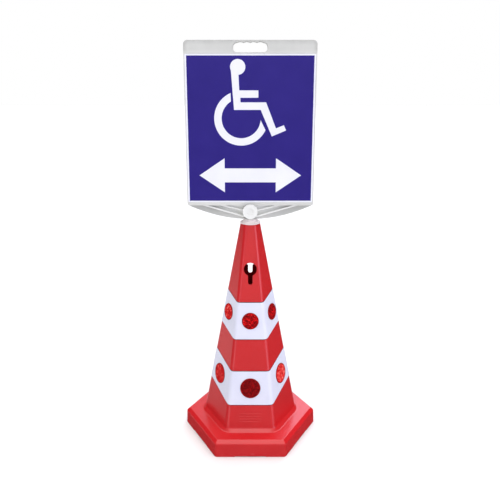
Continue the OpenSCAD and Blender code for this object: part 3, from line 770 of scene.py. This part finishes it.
def hexagon_loft_tree():
    """Wraps a grid round a closed profile whose points hold half width, corner radius and height."""
    tree, given = new_tree("hexagon_loft", Rows="Int", Corner_facets="Int")
    rows, facets = given["Rows"], given["Corner_facets"]
    steps = facets + 1
    around = steps * SIDES
    columns = around + 1
    grid = add(tree, "GeometryNodeMeshGrid", "Mesh", Vertices_X=rows + 1, Vertices_Y=columns)
    index = add(tree, "GeometryNodeInputIndex", "Index")
    row = index // columns % rows
    column = index % columns % around
    point = add(tree, "GeometryNodeInputPosition", "Position")
    sampled = add(tree, "GeometryNodeSampleIndex", "Value", {"data_type": "FLOAT_VECTOR"},
                  Geometry=given["Geometry"], Value=point, Index=row)
    half_width, radius, height = split(sampled)
    out = column // steps * FACE_TURN
    turn = out - HALF_FACE + column % steps / facets * FACE_TURN
    reach = (half_width - radius) / math.cos(HALF_FACE)
    x, y = [reach * calc(wave, out) + radius * calc(wave, turn) for wave in WAVES]
    wrapped = add(tree, "GeometryNodeSetPosition", "Geometry", Geometry=grid,
                  Position=join(tree, X=x, Y=y, Z=height))
    merged = add(tree, "GeometryNodeMergeByDistance", "Geometry", Geometry=wrapped, Distance=CUT_WELD)
    end_tree(merged, given["Finish"])
    return tree


HEXAGON_LOFT = hexagon_loft_tree()
print("tree:", HEXAGON_LOFT.name, "with", len(HEXAGON_LOFT.nodes), "nodes")

# %% [markdown]
# The profile starts under the plinth's rim and runs up the outside, over the ledge with its soft chamfer,
# through the slanted foot of the cone and up the face to the mouth. There it turns down into the neck
# that holds the sign's socket, and comes back down the inner wall. It is drawn by its corners alone: a
# helper rounds each of them, so no bevel has to find them. A few plain rows on the face keep later cuts
# from reaching all over it.

# %% The cone's profile
PLINTH_DRAFT = 0.0016
PLINTH_CORNER_R = 0.012
PLINTH_WALL = 0.004
LEDGE_CHAMFER = 0.0105
FOOT_SLANT = (0.0102, 0.010)
FOOT_CORNER_R = 0.060
FOOT_CUT = 0.006
SOFT_CUT = 0.003
RIM_CUT = 0.0015
INNER_CUT = 0.011
MOUTH_CUT = 0.0014
NECK_R = 0.023
NECK_WALL = 0.004
NECK_LEN = 0.110
TOP_T = 0.004
PLAIN_ROWS = (0.080, 0.130, 0.540, 0.635)
CORNER_FACETS = 8


def rounded_path(corners, facets=6):
    """Points of a path with rounded corners. A corner is its point and how far back its rounding starts."""
    path = []
    for i, (point, cut) in enumerate(corners):
        here = Vector(point)
        before = here + (Vector(corners[i - 1][0]) - here).normalized() * cut
        after = here + (Vector(corners[(i + 1) % len(corners)][0]) - here).normalized() * cut
        for t in [j / facets for j in range(facets + 1)] if cut else [0]:
            path.append(before * (1 - t) ** 2 + here * 2 * t * (1 - t) + after * t ** 2)
    return path


def plinth_point(a, z):
    """A corner of the profile on the plinth, whose corners follow its rim."""
    return a, PLINTH_CORNER_R - PLINTH_A + a, z


def face_point(z, out=0):
    """A corner of the profile on the cone's face, or a wall away from it."""
    return face_a(z) + out, corner_r(z) + out, z


def round_point(radius, z):
    """A corner of the profile on the round neck."""
    return radius, radius, z


def cone_profile():
    """Points of (half width, corner radius, height), all the way round the wall of the moulding."""
    ledge_a = PLINTH_A - PLINTH_DRAFT
    slant_run, slant_rise = FOOT_SLANT
    neck_z = CONE_H - NECK_LEN
    sleeve_r = NECK_R + NECK_WALL
    ceiling_z = CONE_H - TOP_T
    roof_z = PLINTH_H - WALL
    skin = -WALL / math.cos(LEAN_ANGLE)
    return rounded_path([
        (plinth_point(PLINTH_A, 0), RIM_CUT),
        (plinth_point(ledge_a, PLINTH_H - LEDGE_CHAMFER), SOFT_CUT),
        (plinth_point(ledge_a - LEDGE_CHAMFER, PLINTH_H), SOFT_CUT),
        ((face_a(PLINTH_H) + slant_run, FOOT_CORNER_R, PLINTH_H), FOOT_CUT),
        (face_point(PLINTH_H + slant_rise), FOOT_CUT),
        *[(face_point(z), 0) for z in PLAIN_ROWS],
        (face_point(CONE_H), MOUTH_CUT),
        (round_point(NECK_R, CONE_H), MOUTH_CUT),
        (round_point(NECK_R, neck_z), 0),
        (round_point(sleeve_r, neck_z), 0),
        (round_point(sleeve_r, ceiling_z), 0),
        (face_point(ceiling_z, skin), 0),
        (face_point(roof_z, skin), 0),
        (plinth_point(ledge_a - PLINTH_WALL, roof_z), INNER_CUT),
        (plinth_point(PLINTH_A - PLINTH_WALL, 0), RIM_CUT),
    ])


profile_points = cone_profile()
profile_mesh = bpy.data.meshes.new("cone_profile")
profile_mesh.from_pydata(profile_points, [], [])
cone = grow("moulded_cone", profile_mesh, HEXAGON_LOFT, Rows=len(profile_points),
            Corner_facets=CORNER_FACETS, Finish=CONE_RED)
print("cone: profile of", len(profile_points), "points gives", len(cone.data.polygons), "faces")

# %% [markdown]
# ## Copies in a ring and in a row
# Six screws hold the ballast, each in its boss under the plinth's roof, and four raised lines stand in a
# row low on the front. Two small trees do such work: one lays its copies on a ring and turns each
# outwards, the other lays them in a row. What comes in is one screw, washer, boss or line.

# %% Trees for a ring and a row of copies


def ring_of_copies_tree():
    """Copies what comes in to evenly spaced places on a ring."""
    tree, given = new_tree("ring_of_copies", Count="Int", Radius="Float", First_turn="Float")
    index = add(tree, "GeometryNodeInputIndex", "Index")
    turn = index * calc("DIVIDE", math.tau, given["Count"]) + given["First_turn"]
    x, y = [calc(wave, turn) * given["Radius"] for wave in WAVES]
    spots = add(tree, "GeometryNodePoints", "Points", Count=given["Count"], Position=join(tree, X=x, Y=y))
    placed = add(tree, "GeometryNodeInstanceOnPoints", "Instances", Points=spots, Instance=given["Geometry"],
                 Rotation=join(tree, Z=turn))
    end_tree(placed, given["Finish"])
    return tree


def row_of_copies_tree():
    """Copies what comes in along X at a steady pitch."""
    tree, given = new_tree("row_of_copies", Count="Int", Pitch="Float")
    row = add(tree, "GeometryNodeMeshLine", "Mesh", Count=given["Count"], Offset=join(tree, X=given["Pitch"]))
    placed = add(tree, "GeometryNodeInstanceOnPoints", "Instances", Points=row, Instance=given["Geometry"])
    end_tree(placed, given["Finish"])
    return tree


RING_OF_COPIES = ring_of_copies_tree()
ROW_OF_COPIES = row_of_copies_tree()
print("trees:", RING_OF_COPIES.name, "and", ROW_OF_COPIES.name)

# %% [markdown]
# ## Ballast screws, washers and bosses
# These are turned parts: a profile of (radius, height) is spun round the axis like work on a lathe. The
# screw has a domed head with a cross recess for the driver. The ring tree then makes six of each. The
# bosses are joined to the cone, because they are moulded with it.

# %% Ballast screws, washers and bosses
LATHE_FACETS = 96
SMALL_FACETS = 32
WASHER_LOW, WASHER_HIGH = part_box("ballast_washers")
SCREW_LOW, SCREW_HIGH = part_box("ballast_screws")
WASHER_R = 0.0075
BOSS_R = 0.0075
BOSS_LOW_Z = 0.031
SCREW_R = 0.0025
HEAD_R = 0.005
HEAD_DOME = 0.0018
HEAD_FLAT_SHARE = 0.6
HEAD_ROUND_SHARE = 0.35
CROSS = (0.0056, 0.0012, 0.0036)
TIP_LEN = 0.003
SMALL_CUT = 0.0003
RING = {"Count": SIDES, "Radius": WASHER_HIGH.y - WASHER_R, "First_turn": HALF_FACE}


def lathe(work, profile, facets=LATHE_FACETS):
    """Turns a profile of (radius, height) round Z. Points on the axis close the shape."""
    turns = [math.tau * i / facets for i in range(facets)]
    rings = []
    for radius, z in profile:
        places = [(radius * math.cos(t), radius * math.sin(t), z) for t in turns] if radius else [(0, 0, z)]
        rings.append([work.verts.new(place) for place in places])
    for low, high in zip(rings, rings[1:]):
        for i in range(facets):
            j = (i + 1) % facets
            corners = [low[i % len(low)], low[j % len(low)], high[j % len(high)], high[i % len(high)]]
            work.faces.new(list(dict.fromkeys(corners)))


def block(work, size, matrix):
    """A box of a size, put in place by a matrix."""
    made = bmesh.ops.create_cube(work, size=1)
    bmesh.ops.transform(work, verts=made["verts"], matrix=matrix @ Matrix.Diagonal((*size, 1)))


def screw(work):
    """A screw with its head down: domed head, shank and point."""
    low, seat_z, high = SCREW_LOW.z, WASHER_LOW.z, SCREW_HIGH.z
    lathe(work, rounded_path([
        ((0, low), 0), ((HEAD_R * HEAD_FLAT_SHARE, low), HEAD_R * HEAD_ROUND_SHARE),
        ((HEAD_R, low + HEAD_DOME), SMALL_CUT), ((HEAD_R, seat_z), SMALL_CUT), ((SCREW_R, seat_z), 0),
        ((SCREW_R, high - TIP_LEN), 0), ((0, high), 0)]), SMALL_FACETS)


def cross_recess(work):
    """Two crossed blocks that cut the driver's recess."""
    length, width, depth = CROSS
    for size in ((length, width, depth), (width, length, depth)):
        block(work, size, Matrix.Translation((0, 0, SCREW_LOW.z)))


def washer(work):
    """A flat ring round the shank."""
    low, high = WASHER_LOW.z, WASHER_HIGH.z
    ring = rounded_path([((SCREW_R, low), 0), ((WASHER_R, low), SMALL_CUT), ((WASHER_R, high), SMALL_CUT),
                         ((SCREW_R, high), 0)])
    lathe(work, ring + ring[:1], SMALL_FACETS)


def boss(work):
    """A round post with a pilot hole, rooted half way into the plinth's roof."""
    root_z = PLINTH_H - WALL / 2
    pilot_z = root_z - WALL
    lathe(work, [(0, root_z), (BOSS_R, root_z), (BOSS_R, BOSS_LOW_Z), (SCREW_R, BOSS_LOW_Z),
                 (SCREW_R, pilot_z), (0, pilot_z)], SMALL_FACETS)


carve(cone, grow("bosses", mesh_from("boss", boss), RING_OF_COPIES, **RING, Finish=CONE_RED), "UNION")
one_screw = piece_from("one_screw", screw)
carve(one_screw, piece_from("cross", cross_recess))
for name, start_mesh in (("screws", one_screw.data), ("washers", mesh_from("washer", washer))):
    fasteners = grow(f"{name}_in_ballast", start_mesh, RING_OF_COPIES, **RING, Finish=ZINC_STEEL)
    shade(fasteners)
    hand_over(fasteners, "cone", "zinc_steel", ZINC_STEEL, f"ballast_{name}")
bpy.data.objects.remove(one_screw)

# %% [markdown]
# ## Cutting the cone
# The keyholes that take a chain or a bar go through the front and the rear face, so one long prism cuts
# both. Each side of the rim has a shallow relief, so that the plinth stands on its six corners. Booleans
# cut these, and a fine bevel rounds what is cut. The keyway for the socket's keys is cut after that and
# stays sharp. The raised lines are low ridges with a round back, whose feet are sunk into the face before
# they are joined on.

# %% Cutting the cone
KEYHOLE_Z = 0.604
KEYHOLE_R = 0.0215
KEYHOLE_FACETS = 48
SLOT_R = 0.0075
SLOT_DROP = 0.051
SLOT_FACETS = 16
RELIEF = (0.104, 0.002)
KEYWAY = (0.0064, 0.0252, 0.0402)
CUT_EDGE_R = 0.0009
LINE_W = 0.074
LINE_H = 0.0016
LINE_OUT = 0.0006
LINE_SINK = 0.0003
LINE_PITCH = 0.009
LINE_Z = 0.090
LINE_COUNT = 4
LINE_FACETS = 8
# A cutting tool is so many times as deep as what it cuts
CUT_REACH = 4


def arc_outline(z, width, height, start, end, facets):
    """Points of a round or flattened arc in X and Z about a point on Z, with angles in degrees."""
    turns = [math.radians(start + (end - start) * i / facets) for i in range(facets + 1)]
    return [(width * math.cos(t), z + height * math.sin(t)) for t in turns]


def loft(work, rings, closed=False):
    """Joins rings of points with faces. Rings that aren't closed onto the first get end caps."""
    rows = [[work.verts.new(point) for point in ring] for ring in rings]
    count = len(rows[0])
    for low, high in zip(rows, rows[1:] + rows[:1] if closed else rows[1:]):
        for i in range(count):
            j = (i + 1) % count
            work.faces.new((low[i], low[j], high[j], high[i]))
    if not closed:
        work.faces.new(rows[0])
        work.faces.new(rows[-1])


def prism(work, outline, half_length):
    """A closed prism along Y with an outline in X and Z."""
    loft(work, [[(x, y, z) for x, z in outline] for y in (-half_length, half_length)])


def cone_cuts(work):
    """One long keyhole through both faces, and a relief under each side of the rim."""
    open_angle = math.degrees(math.asin(SLOT_R / KEYHOLE_R))
    slot_z = KEYHOLE_Z - SLOT_DROP + SLOT_R
    hole = arc_outline(KEYHOLE_Z, KEYHOLE_R, KEYHOLE_R, open_angle - 90, 270 - open_angle, KEYHOLE_FACETS)
    slot = arc_outline(slot_z, SLOT_R, SLOT_R, 180, 360, SLOT_FACETS)
    prism(work, hole + slot, PLINTH_A)
    width, height = RELIEF
    for f in range(SIDES):
        spin = Matrix.Rotation(FACE_TURN * f - HALF_FACE, 4, "Z")
        block(work, (CUT_REACH * PLINTH_WALL, width, 2 * height), spin @ Matrix.Translation((PLINTH_A, 0, 0)))


def keyway(work):
    """A slot across the mouth, open at the top."""
    width, half_length, depth = KEYWAY
    block(work, (2 * half_length, width, 2 * depth), Matrix.Translation((0, 0, CONE_H)))


def raised_line(work):
    """A low ridge along Y with a round back and a foot below the face."""
    back = arc_outline(-LINE_SINK, LINE_H / 2, LINE_OUT + LINE_SINK, 0, 180, LINE_FACETS)
    prism(work, back + [(-LINE_H / 2, -LINE_OUT), (LINE_H / 2, -LINE_OUT)], LINE_W / 2)


carve(cone, piece_from("cuts", cone_cuts))
round_edges(cone, CUT_EDGE_R)
carve(cone, piece_from("keyway", keyway))
lines = grow("lines", mesh_from("line", raised_line), ROW_OF_COPIES, Count=LINE_COUNT,
             Pitch=-LINE_PITCH / math.cos(LEAN_ANGLE), Finish=CONE_RED)
lines.data.transform(face_matrix(0, LINE_Z, 0))
carve(cone, lines, "UNION")
print("cone: two keyholes, a keyway,", SIDES, "reliefs and", LINE_COUNT, "raised lines")

# %% [markdown]
# ## Reflective bands
# Each band is glued on in two half wraps that meet at the side corners. Its edges run level on the front
# and rear faces and rise along the side faces, because a flat strip climbs when it is wrapped round a
# cone. A loop walks round the hexagon and lofts the strip's small cross-section along the way, so the
# strip follows the rounded corners exactly. The same loop cuts the narrow groove that frames a band in
# the moulding, and shade painted on the groove's floor shows as a dark line. A map in metres along
# the strip carries the honeycomb.

# %% Grooves for the bands
# Each band's reflectors get painted light levels, face by face from the front: how lit or shaded each looks
BANDS = {
    "upper": {"z": 0.371, "h": 0.1225, "dot_d": 0.056, "dot_shades": (0.48, 0.44, 0.6, 0.5, 0.6, 0.84)},
    "lower": {"z": 0.148, "h": 0.114, "dot_d": 0.068, "dot_shades": (0.03, 1.04, 0.6, 0.4, 0.6, 0.74)},
}
BAND_RISE_SHARE = 0.285
BAND_T = 0.0008
BAND_EDGE_R = 0.00025
GROOVE_W = 0.0022
GROOVE_UNDER = 0.0004
GROOVE_DEPTH = 0.0014


def face_width(z):
    """Width of one face of the cone at a height."""
    return 2 * face_a(z) * math.tan(HALF_FACE)


def side_share(k, t):
    """How far a point lies along a side face: 0 at the front or rear corner, 1 at the side corner."""
    front = 1 / math.cos(HALF_FACE) / 2
    return max(0, min(1, (abs(ring_point(1, CORNER_FOOT_R / FOOT_A, k, t)[0]) - front) / front))


def strip_section(k, t, z_low, z_high, inner, outer):
    """The cross-section of a strip at one step of its way round the cone."""
    corners = []
    for z, out in ((z_low, inner), (z_low, outer), (z_high, outer), (z_high, inner)):
        rise = side_share(k, t) * BAND_RISE_SHARE * face_width(z)
        ring = ring_point(face_a(z + rise) + out, corner_r(z + rise) + out, k, t)
        corners.append((*ring, z + rise))
    return corners


def way_round(first, last):
    """Corner numbers and arc shares from the middle of one corner to the middle of another."""
    for k in range(first, last + 1):
        for j in range(CORNER_FACETS + 1):
            before_start = k == first and 2 * j < CORNER_FACETS
            after_end = k == last and 2 * j > CORNER_FACETS
            if not before_start and not after_end:
                yield k, j / CORNER_FACETS


def groove_sections():
    """For each groove, its cross-sections all the way round the cone."""
    steps = list(way_round(0, SIDES))[:-1]
    for band in BANDS.values():
        low, high = band["z"], band["z"] + band["h"]
        for z_from, z_to in ((low - GROOVE_W, low + GROOVE_UNDER), (high - GROOVE_UNDER, high + GROOVE_W)):
            yield [strip_section(k, t, z_from, z_to, -GROOVE_DEPTH, GROOVE_W) for k, t in steps]


def grooves(work):
    """Closed strips that cut the grooves."""
    for sections in groove_sections():
        loft(work, sections, closed=True)


def mark_groove_floors(mesh):
    """Stores 1 at the points on a groove's floor, where shade is painted dark."""
    floors = [section[i] for sections in groove_sections() for section in sections for i in (0, -1)]
    nearby = KDTree(len(floors))
    for i, point in enumerate(floors):
        nearby.insert(point, i)
    nearby.balance()
    layer = mesh.attributes.new("groove_painted_shade", "FLOAT", "POINT")
    for vertex, painted_floor_shade in zip(mesh.vertices, layer.data):
        distance = nearby.find(vertex.co)[2]
        painted_floor_shade.value = distance < NEAR


carve(cone, piece_from("grooves", grooves))
# The groove floors carry painted shade
mark_groove_floors(cone.data)
shade(cone)
hand_over(cone, "cone", "red_plastic", CONE_RED, "cone_shell")

# %% Reflective bands
DOT_GAP = 0.00015
DOT_SHIFT = 0.007
DOT_RISE_SHARE = 0.25
DOT_T = 0.0024
# Front or rear face, and the faces whose side corner lies ahead or behind on the way round
CORNER_SIDES = (0, 1, -1)


def dot_place(f, band):
    """A reflector sits half way up its band, nearer the side corner on a side face."""
    side = CORNER_SIDES[f % len(CORNER_SIDES)]
    middle = band["z"] + band["h"] / 2
    share = abs(side) * (1 / 2 + DOT_SHIFT / face_width(middle))
    z = middle + share * DOT_RISE_SHARE * face_width(middle)
    return face_matrix(f, z, side * DOT_SHIFT)


def dot_holes(work, band):
    """Cylinders that cut the holes for a band's reflectors."""
    radius = band["dot_d"] / 2 + DOT_GAP
    for f in range(SIDES):
        bmesh.ops.create_cone(work, cap_ends=True, segments=LATHE_FACETS, radius1=radius, radius2=radius,
                              depth=CUT_REACH * DOT_T, matrix=dot_place(f, band))


def map_strip(mesh):
    """A map in metres: the way round the cone and the height."""
    layer = mesh.uv_layers.new(name="strip")
    for loop in mesh.loops:
        point = mesh.vertices[loop.vertex_index].co
        layer.data[loop.index].uv = (math.atan2(point.x, -point.y) * face_a(point.z), point.z)


for band_name, band in BANDS.items():
    for half, first in (("front", SIDES // 2), ("rear", 0)):
        steps = way_round(first, first + SIDES // 2)
        sections = [strip_section(k, t, band["z"], band["z"] + band["h"], 0, BAND_T) for k, t in steps]
        strip = piece_from(f"sheeting_{band_name}_{half}", loft, sections)
        carve(strip, piece_from("holes", dot_holes, band))
        round_edges(strip, BAND_EDGE_R)
        map_strip(strip.data)
        shade(strip)
        hand_over(strip, "cone", "white_sheeting", BAND_WHITE, f"{band_name}_band_{half}")

# %% [markdown]
# ## Prismatic reflectors
# A reflector is a red disc whose face is a field of small six-sided prisms inside a smooth bezel.
# Geometry nodes fit this well: they lay points on a hexagonal grid, drop those outside the field, put a
# low prism on each and store a random level of painted light for it, a painted sparkle. The seed is fixed,
# so every run gives the same sparkle, and each reflector has its own span of painted light and shade. The
# disc itself is turned and goes into the tree as the starting mesh.

# %% The prism field tree
CELL_FILL = 0.99
# Rows lie closer than columns, so a round field takes more of them
ROWS_PER_COLUMN = 1.2


def prism_field_tree():
    """Joins a field of hexagonal prisms to the disc that comes in."""
    tree, given = new_tree("prism_field", Field_radius="Float", Pitch="Float", Height="Float", Base="Float",
                           Darkest="Float", Lightest="Float", Seed="Int")
    field_radius, pitch = given["Field_radius"], given["Pitch"]
    across = calc("CEIL", field_radius / pitch) + 1
    columns = across * 2 + 1
    rows = calc("CEIL", across * ROWS_PER_COLUMN) * 2 + 1
    index = add(tree, "GeometryNodeInputIndex", "Index")
    row = index // columns - rows // 2
    column = index % columns - across
    half_step = calc("FLOORED_MODULO", row, 2) / 2
    x = (column + half_step) * pitch
    y = row * (ROOT_3 / 2) * pitch
    points = add(tree, "GeometryNodePoints", "Points", Count=columns * rows,
                 Position=join(tree, X=x, Y=y, Z=given["Base"]))
    on_disc = vector_calc("MULTIPLY", add(tree, "GeometryNodeInputPosition", "Position"), (1, 1, 0))
    outside = calc("GREATER_THAN", vector_calc("LENGTH", on_disc), field_radius)
    kept = add(tree, "GeometryNodeDeleteGeometry", "Geometry", Geometry=points, Selection=outside)
    cell = add(tree, "GeometryNodeMeshCone", "Mesh", Vertices=SIDES, Radius_Top=0, Depth=given["Height"],
               Radius_Bottom=pitch * (CELL_FILL / ROOT_3))
    placed = add(tree, "GeometryNodeInstanceOnPoints", "Instances", Points=kept, Instance=cell,
                 Rotation=(0, 0, HALF_FACE))
    chance = add(tree, "FunctionNodeRandomValue", "Value", {"data_type": "FLOAT"}, Min=given["Darkest"],
                 Max=given["Lightest"], Seed=given["Seed"])
    shaded = add(tree, "GeometryNodeStoreNamedAttribute", "Geometry",
                 {"data_type": "FLOAT", "domain": "INSTANCE"},
                 Geometry=placed, Name="cell_painted_light", Value=chance)
    joined = add_node(tree, "GeometryNodeJoinGeometry")
    for part in (shaded, given["Geometry"]):
        fill(joined, Geometry=part)
    end_tree(outputs(joined)["Geometry"], given["Finish"])
    return tree


PRISM_FIELD = prism_field_tree()
print("tree:", PRISM_FIELD.name, "with", len(PRISM_FIELD.nodes), "nodes")

# %% Prismatic reflectors
PRISM_PITCH = 0.0042
PRISM_H = 0.0008
PRISM_SINK = MM / 10
FIELD_OVERLAP = PRISM_PITCH / 4
PRISM_SPREAD = 0.35
DARKEST_PRISM = 0.05
BEZEL_W = 0.0026
BEZEL_R = 0.0009


def disc(work, d):
    """A disc with a rounded bezel round a sunk field."""
    r = d / 2
    field_z = DOT_T - PRISM_H
    lathe(work, rounded_path([
        ((0, 0), 0), ((r, 0), 0), ((r, DOT_T), BEZEL_R), ((r - BEZEL_W + BEZEL_R / 2, DOT_T), 0),
        ((r - BEZEL_W, field_z), 0), ((0, field_z), 0)]))


for band_name, band in BANDS.items():
    disc_mesh = mesh_from("disc", disc, band["dot_d"])
    field_radius = band["dot_d"] / 2 - BEZEL_W + FIELD_OVERLAP
    # Each reflector's prisms get painted light and shade round its own level
    for f, painted_light_middle in enumerate(band["dot_shades"]):
        dot = grow(f"prisms_{band_name}_{f + 1}", disc_mesh.copy(), PRISM_FIELD, Field_radius=field_radius,
                   Pitch=PRISM_PITCH, Height=PRISM_H, Base=DOT_T - PRISM_H - PRISM_SINK,
                   Darkest=max(painted_light_middle - PRISM_SPREAD, DARKEST_PRISM),
                   Lightest=painted_light_middle + PRISM_SPREAD, Seed=f + 1, Finish=PRISM_RED)
        dot.data.transform(dot_place(f, band))
        hand_over(dot, "cone", "reflector_red", PRISM_RED, f"{band_name}_reflector_{f + 1}")

# %% [markdown]
# ## Collar and socket
# The socket is turned: a tube that plugs into the neck, with a wide collar that rests on the mouth of the
# cone and sweeps up to the face that the sign turns on. The sweep is only a corner that is rounded far
# back. Two keys on the tube keep it from turning in the cone.

# %% Collar and socket
SOCKET_LOW, SOCKET_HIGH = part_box("neck_socket")
COLLAR_R = SOCKET_HIGH.x
COLLAR_TOP_R = 0.024
COLLAR_RIM_H = 0.0045
COLLAR_SWEEP = 0.0095
TUBE_CLEARANCE = 0.00005
TUBE_R = NECK_R - TUBE_CLEARANCE
STEM_BORE_R = 0.01705
SOCKET_CUT = 0.0012
SOCKET_FACETS = 12
KEY = (0.006, 0.002, 0.040)


def socket_profile():
    """The socket's wall, from the bore's foot out, up over the collar and back down the bore."""
    low, high = SOCKET_LOW.z, SOCKET_HIGH.z
    rim_z = CONE_H + COLLAR_RIM_H
    wall = rounded_path([
        ((STEM_BORE_R, low), 0), ((TUBE_R, low), SOCKET_CUT), ((TUBE_R, CONE_H), 0),
        ((COLLAR_R, CONE_H), SOCKET_CUT), ((COLLAR_R, rim_z), SMALL_CUT),
        ((COLLAR_TOP_R, rim_z), COLLAR_SWEEP), ((COLLAR_TOP_R, high), SOCKET_CUT),
        ((STEM_BORE_R, high), SOCKET_CUT / 2)], SOCKET_FACETS)
    return wall + wall[:1]


def socket_keys(work):
    """A key on each side of the tube, under the collar."""
    width, out, length = KEY
    for side in (-1, 1):
        block(work, (2 * out, width, length), Matrix.Translation((side * TUBE_R, 0, CONE_H - length / 2)))


collar = piece_from("collar_socket", lathe, socket_profile())
carve(collar, piece_from("keys", socket_keys), "UNION")
shade(collar)
hand_over(collar, "socket", "grey_plastic", SOCKET_GREY, "neck_socket")

# %% [markdown]
# ## Hub caps
# A domed cap hides the bolt on each side of the hub. It is turned too: a shallow dome with a rounded rim,
# and a hollow plug that snaps into the hub's recess.

# %% Hub caps
CAP_LOW, CAP_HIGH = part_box("hub_cap_front")
HUB_Z = (CAP_LOW.z + CAP_HIGH.z) / 2
CAP_R = (CAP_HIGH.z - CAP_LOW.z) / 2
CAP_H = -CAP_LOW.y - BOARD_HALF_T
PLUG_R = 0.0108
PLUG_LEN = 0.0025
PLUG_BORE_R = 0.0083
CAP_WALL = 0.0024
CAP_RIM_R = 0.0012
# Points of the rim, as shares of its radius: how far in and how far up
CAP_RIM_SHARES = ((1 / 4, 3 / 4), (0, 1 / 3), (0, 0))
DOME_FACETS = 14


def cap_profile():
    """Dome, rim and plug, with heights measured from the board's face."""
    dome_r = (CAP_R ** 2 + CAP_H ** 2) / (2 * CAP_H)
    half = math.asin((CAP_R - CAP_RIM_R) / dome_r)
    turns = [half * i / DOME_FACETS for i in range(DOME_FACETS + 1)]
    dome = [(dome_r * math.sin(t), CAP_H - dome_r * (1 - math.cos(t))) for t in turns]
    rim = [(CAP_R - CAP_RIM_R * inwards, CAP_RIM_R * up) for inwards, up in CAP_RIM_SHARES]
    roof = CAP_H - CAP_WALL
    plug = [(PLUG_R, 0), (PLUG_R, -PLUG_LEN), (PLUG_BORE_R, -PLUG_LEN), (PLUG_BORE_R, roof), (0, roof)]
    return dome + rim + plug


for side, sign in (("front", -1), ("rear", 1)):
    cap = piece_from(f"cap_{side}", lathe, cap_profile())
    outwards = Matrix.Rotation(-sign * UPRIGHT, 4, "X")
    cap.data.transform(Matrix.Translation((0, sign * BOARD_HALF_T, HUB_Z)) @ outwards)
    shade(cap)
    hand_over(cap, "sign_head", "cap_plastic", CAP_WHITE, f"hub_cap_{side}")

# %% [markdown]
# ## Board and other mouldings
# The frame's solids already have the right shape for the board's two shells, the stem, the ballast and
# the hub's fasteners. What they lack are the rounded edges that every real piece has, and that catch the
# light. A copy of each solid is merged into one skin, its flat faces are joined, and a bevel rounds its
# edges. The board's head is rounder than the rest, so each edge of the board carries a weight: the share
# of the full rounding that it gets. Two cuts across the head's sides give the rounding a place to fade.

# %% Board and other mouldings
FLAT_ANGLE = math.radians(0.5)
EDGE_FACETS = 4
# For each solid its piece, body, material slot and edge radius
MOULDINGS = {
    "front_shell": ("board_front", "sign_head", "grey_plastic", 0.0032),
    "rear_shell": ("board_rear", "sign_head", "grey_plastic", 0.0032),
    "stem": ("sign_stem", "sign_head", "grey_plastic", 0.0008),
    "ballast_ring": ("ballast", "cone", "ballast_rubber", 0.0015),
    "hub_bolt": ("bolt", "sign_head", "zinc_steel", 0.0004),
    "hub_nut": ("nut", "sign_head", "zinc_steel", 0.0004),
    "stem_screw": ("screw_under_stem", "sign_head", "zinc_steel", 0.0004),
    "stem_washer": ("washer_under_stem", "sign_head", "zinc_steel", 0.0003),
}
SLOT_FINISH = {
    "grey_plastic": BOARD_GREY, "ballast_rubber": CRUMB_RUBBER, "zinc_steel": ZINC_STEEL,
    "white_sheet": SHEET_WHITE, "blue_film": FILM_INDIGO,
}
HEAD_CUT_RISES = (0.003, 0.015)
HEAD_CUTS = [SHEET_HIGH.z + rise for rise in HEAD_CUT_RISES]
OUTLINE_W = 0.0045
SIDE_SHARE = 0.35
FINE_SHARE = 0.2


def merged_skin(work, node, cuts):
    """A solid's triangles as one skin with whole flat faces, cut level at some heights."""
    work.from_mesh(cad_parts[node].data)
    merge(work, WELD)
    bmesh.ops.dissolve_limit(work, angle_limit=FLAT_ANGLE, verts=work.verts, edges=work.edges)
    for z in cuts:
        everything = work.verts[:] + work.edges[:] + work.faces[:]
        bmesh.ops.bisect_plane(work, geom=everything, plane_co=(0, 0, z), plane_no=(0, 0, 1))


def board_share(middle):
    """The share of the head's rounding for an edge of the board, from the edge's middle."""
    from_outline = min(BOARD_HIGH.x - abs(middle.x), BOARD_HIGH.z - middle.z)
    on_face = abs(middle.y) > BOARD_HALF_T - NEAR
    if not on_face or middle.z < SHEET_LOW.z or from_outline > OUTLINE_W:
        return FINE_SHARE
    return 1 if middle.z > HEAD_CUTS[1] else SIDE_SHARE


def weigh_edges(work):
    """Stores the board's shares as weights on its sharp edges."""
    layer = work.edges.layers.float.new("bevel_weight_edge")
    for edge in work.edges:
        if edge.is_manifold and edge.calc_face_angle() > SMOOTH_ANGLE:
            edge[layer] = board_share((edge.verts[0].co + edge.verts[1].co) / 2)


for node, (name, body, slot_name, edge_r) in MOULDINGS.items():
    is_board = name.startswith("board")
    mesh = bpy.data.meshes.new(name)
    rework(mesh, merged_skin, node, HEAD_CUTS if is_board else ())
    if is_board:
        rework(mesh, weigh_edges)
    moulding = new_object(name, mesh)
    round_edges(moulding, edge_r, EDGE_FACETS, "WEIGHT" if is_board else "ANGLE")
    shade(moulding)
    hand_over(moulding, body, slot_name, SLOT_FINISH[slot_name], node)

# %% [markdown]
# ## Sheet, film and small fasteners
# The printed sheet and the film on it are flat, and the last washers and screws are out of sight. Their
# solids stay as they are and only get their finishes.

# %% Sheet, film and small fasteners
KEPT_NODES = {
    "white_sheet": ("front_sheet", "rear_sheet"),
    "blue_film": ("front_film", "rear_film"),
    "zinc_steel": ("shell_screws", "hub_washers"),
}
for slot_name, names in KEPT_NODES.items():
    for name in names:
        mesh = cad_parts[name].data
        mesh.materials.clear()
        mesh.materials.append(SLOT_FINISH[slot_name])
print("kept solids:", sum(len(names) for names in KEPT_NODES.values()))

# %% [markdown]
# ## Size
# The dressed object must fill the same box as the frame. Both boxes are written out, so they can be
# compared.

# %% Size
boxes = {"cad": CAD_BOX, "visual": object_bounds()}
{name: [list(corner) for corner in box] for name, box in boxes.items()}
for name, (low, high) in boxes.items():
    print(name, "box:", [round(v, 4) for v in (*low, *high)])
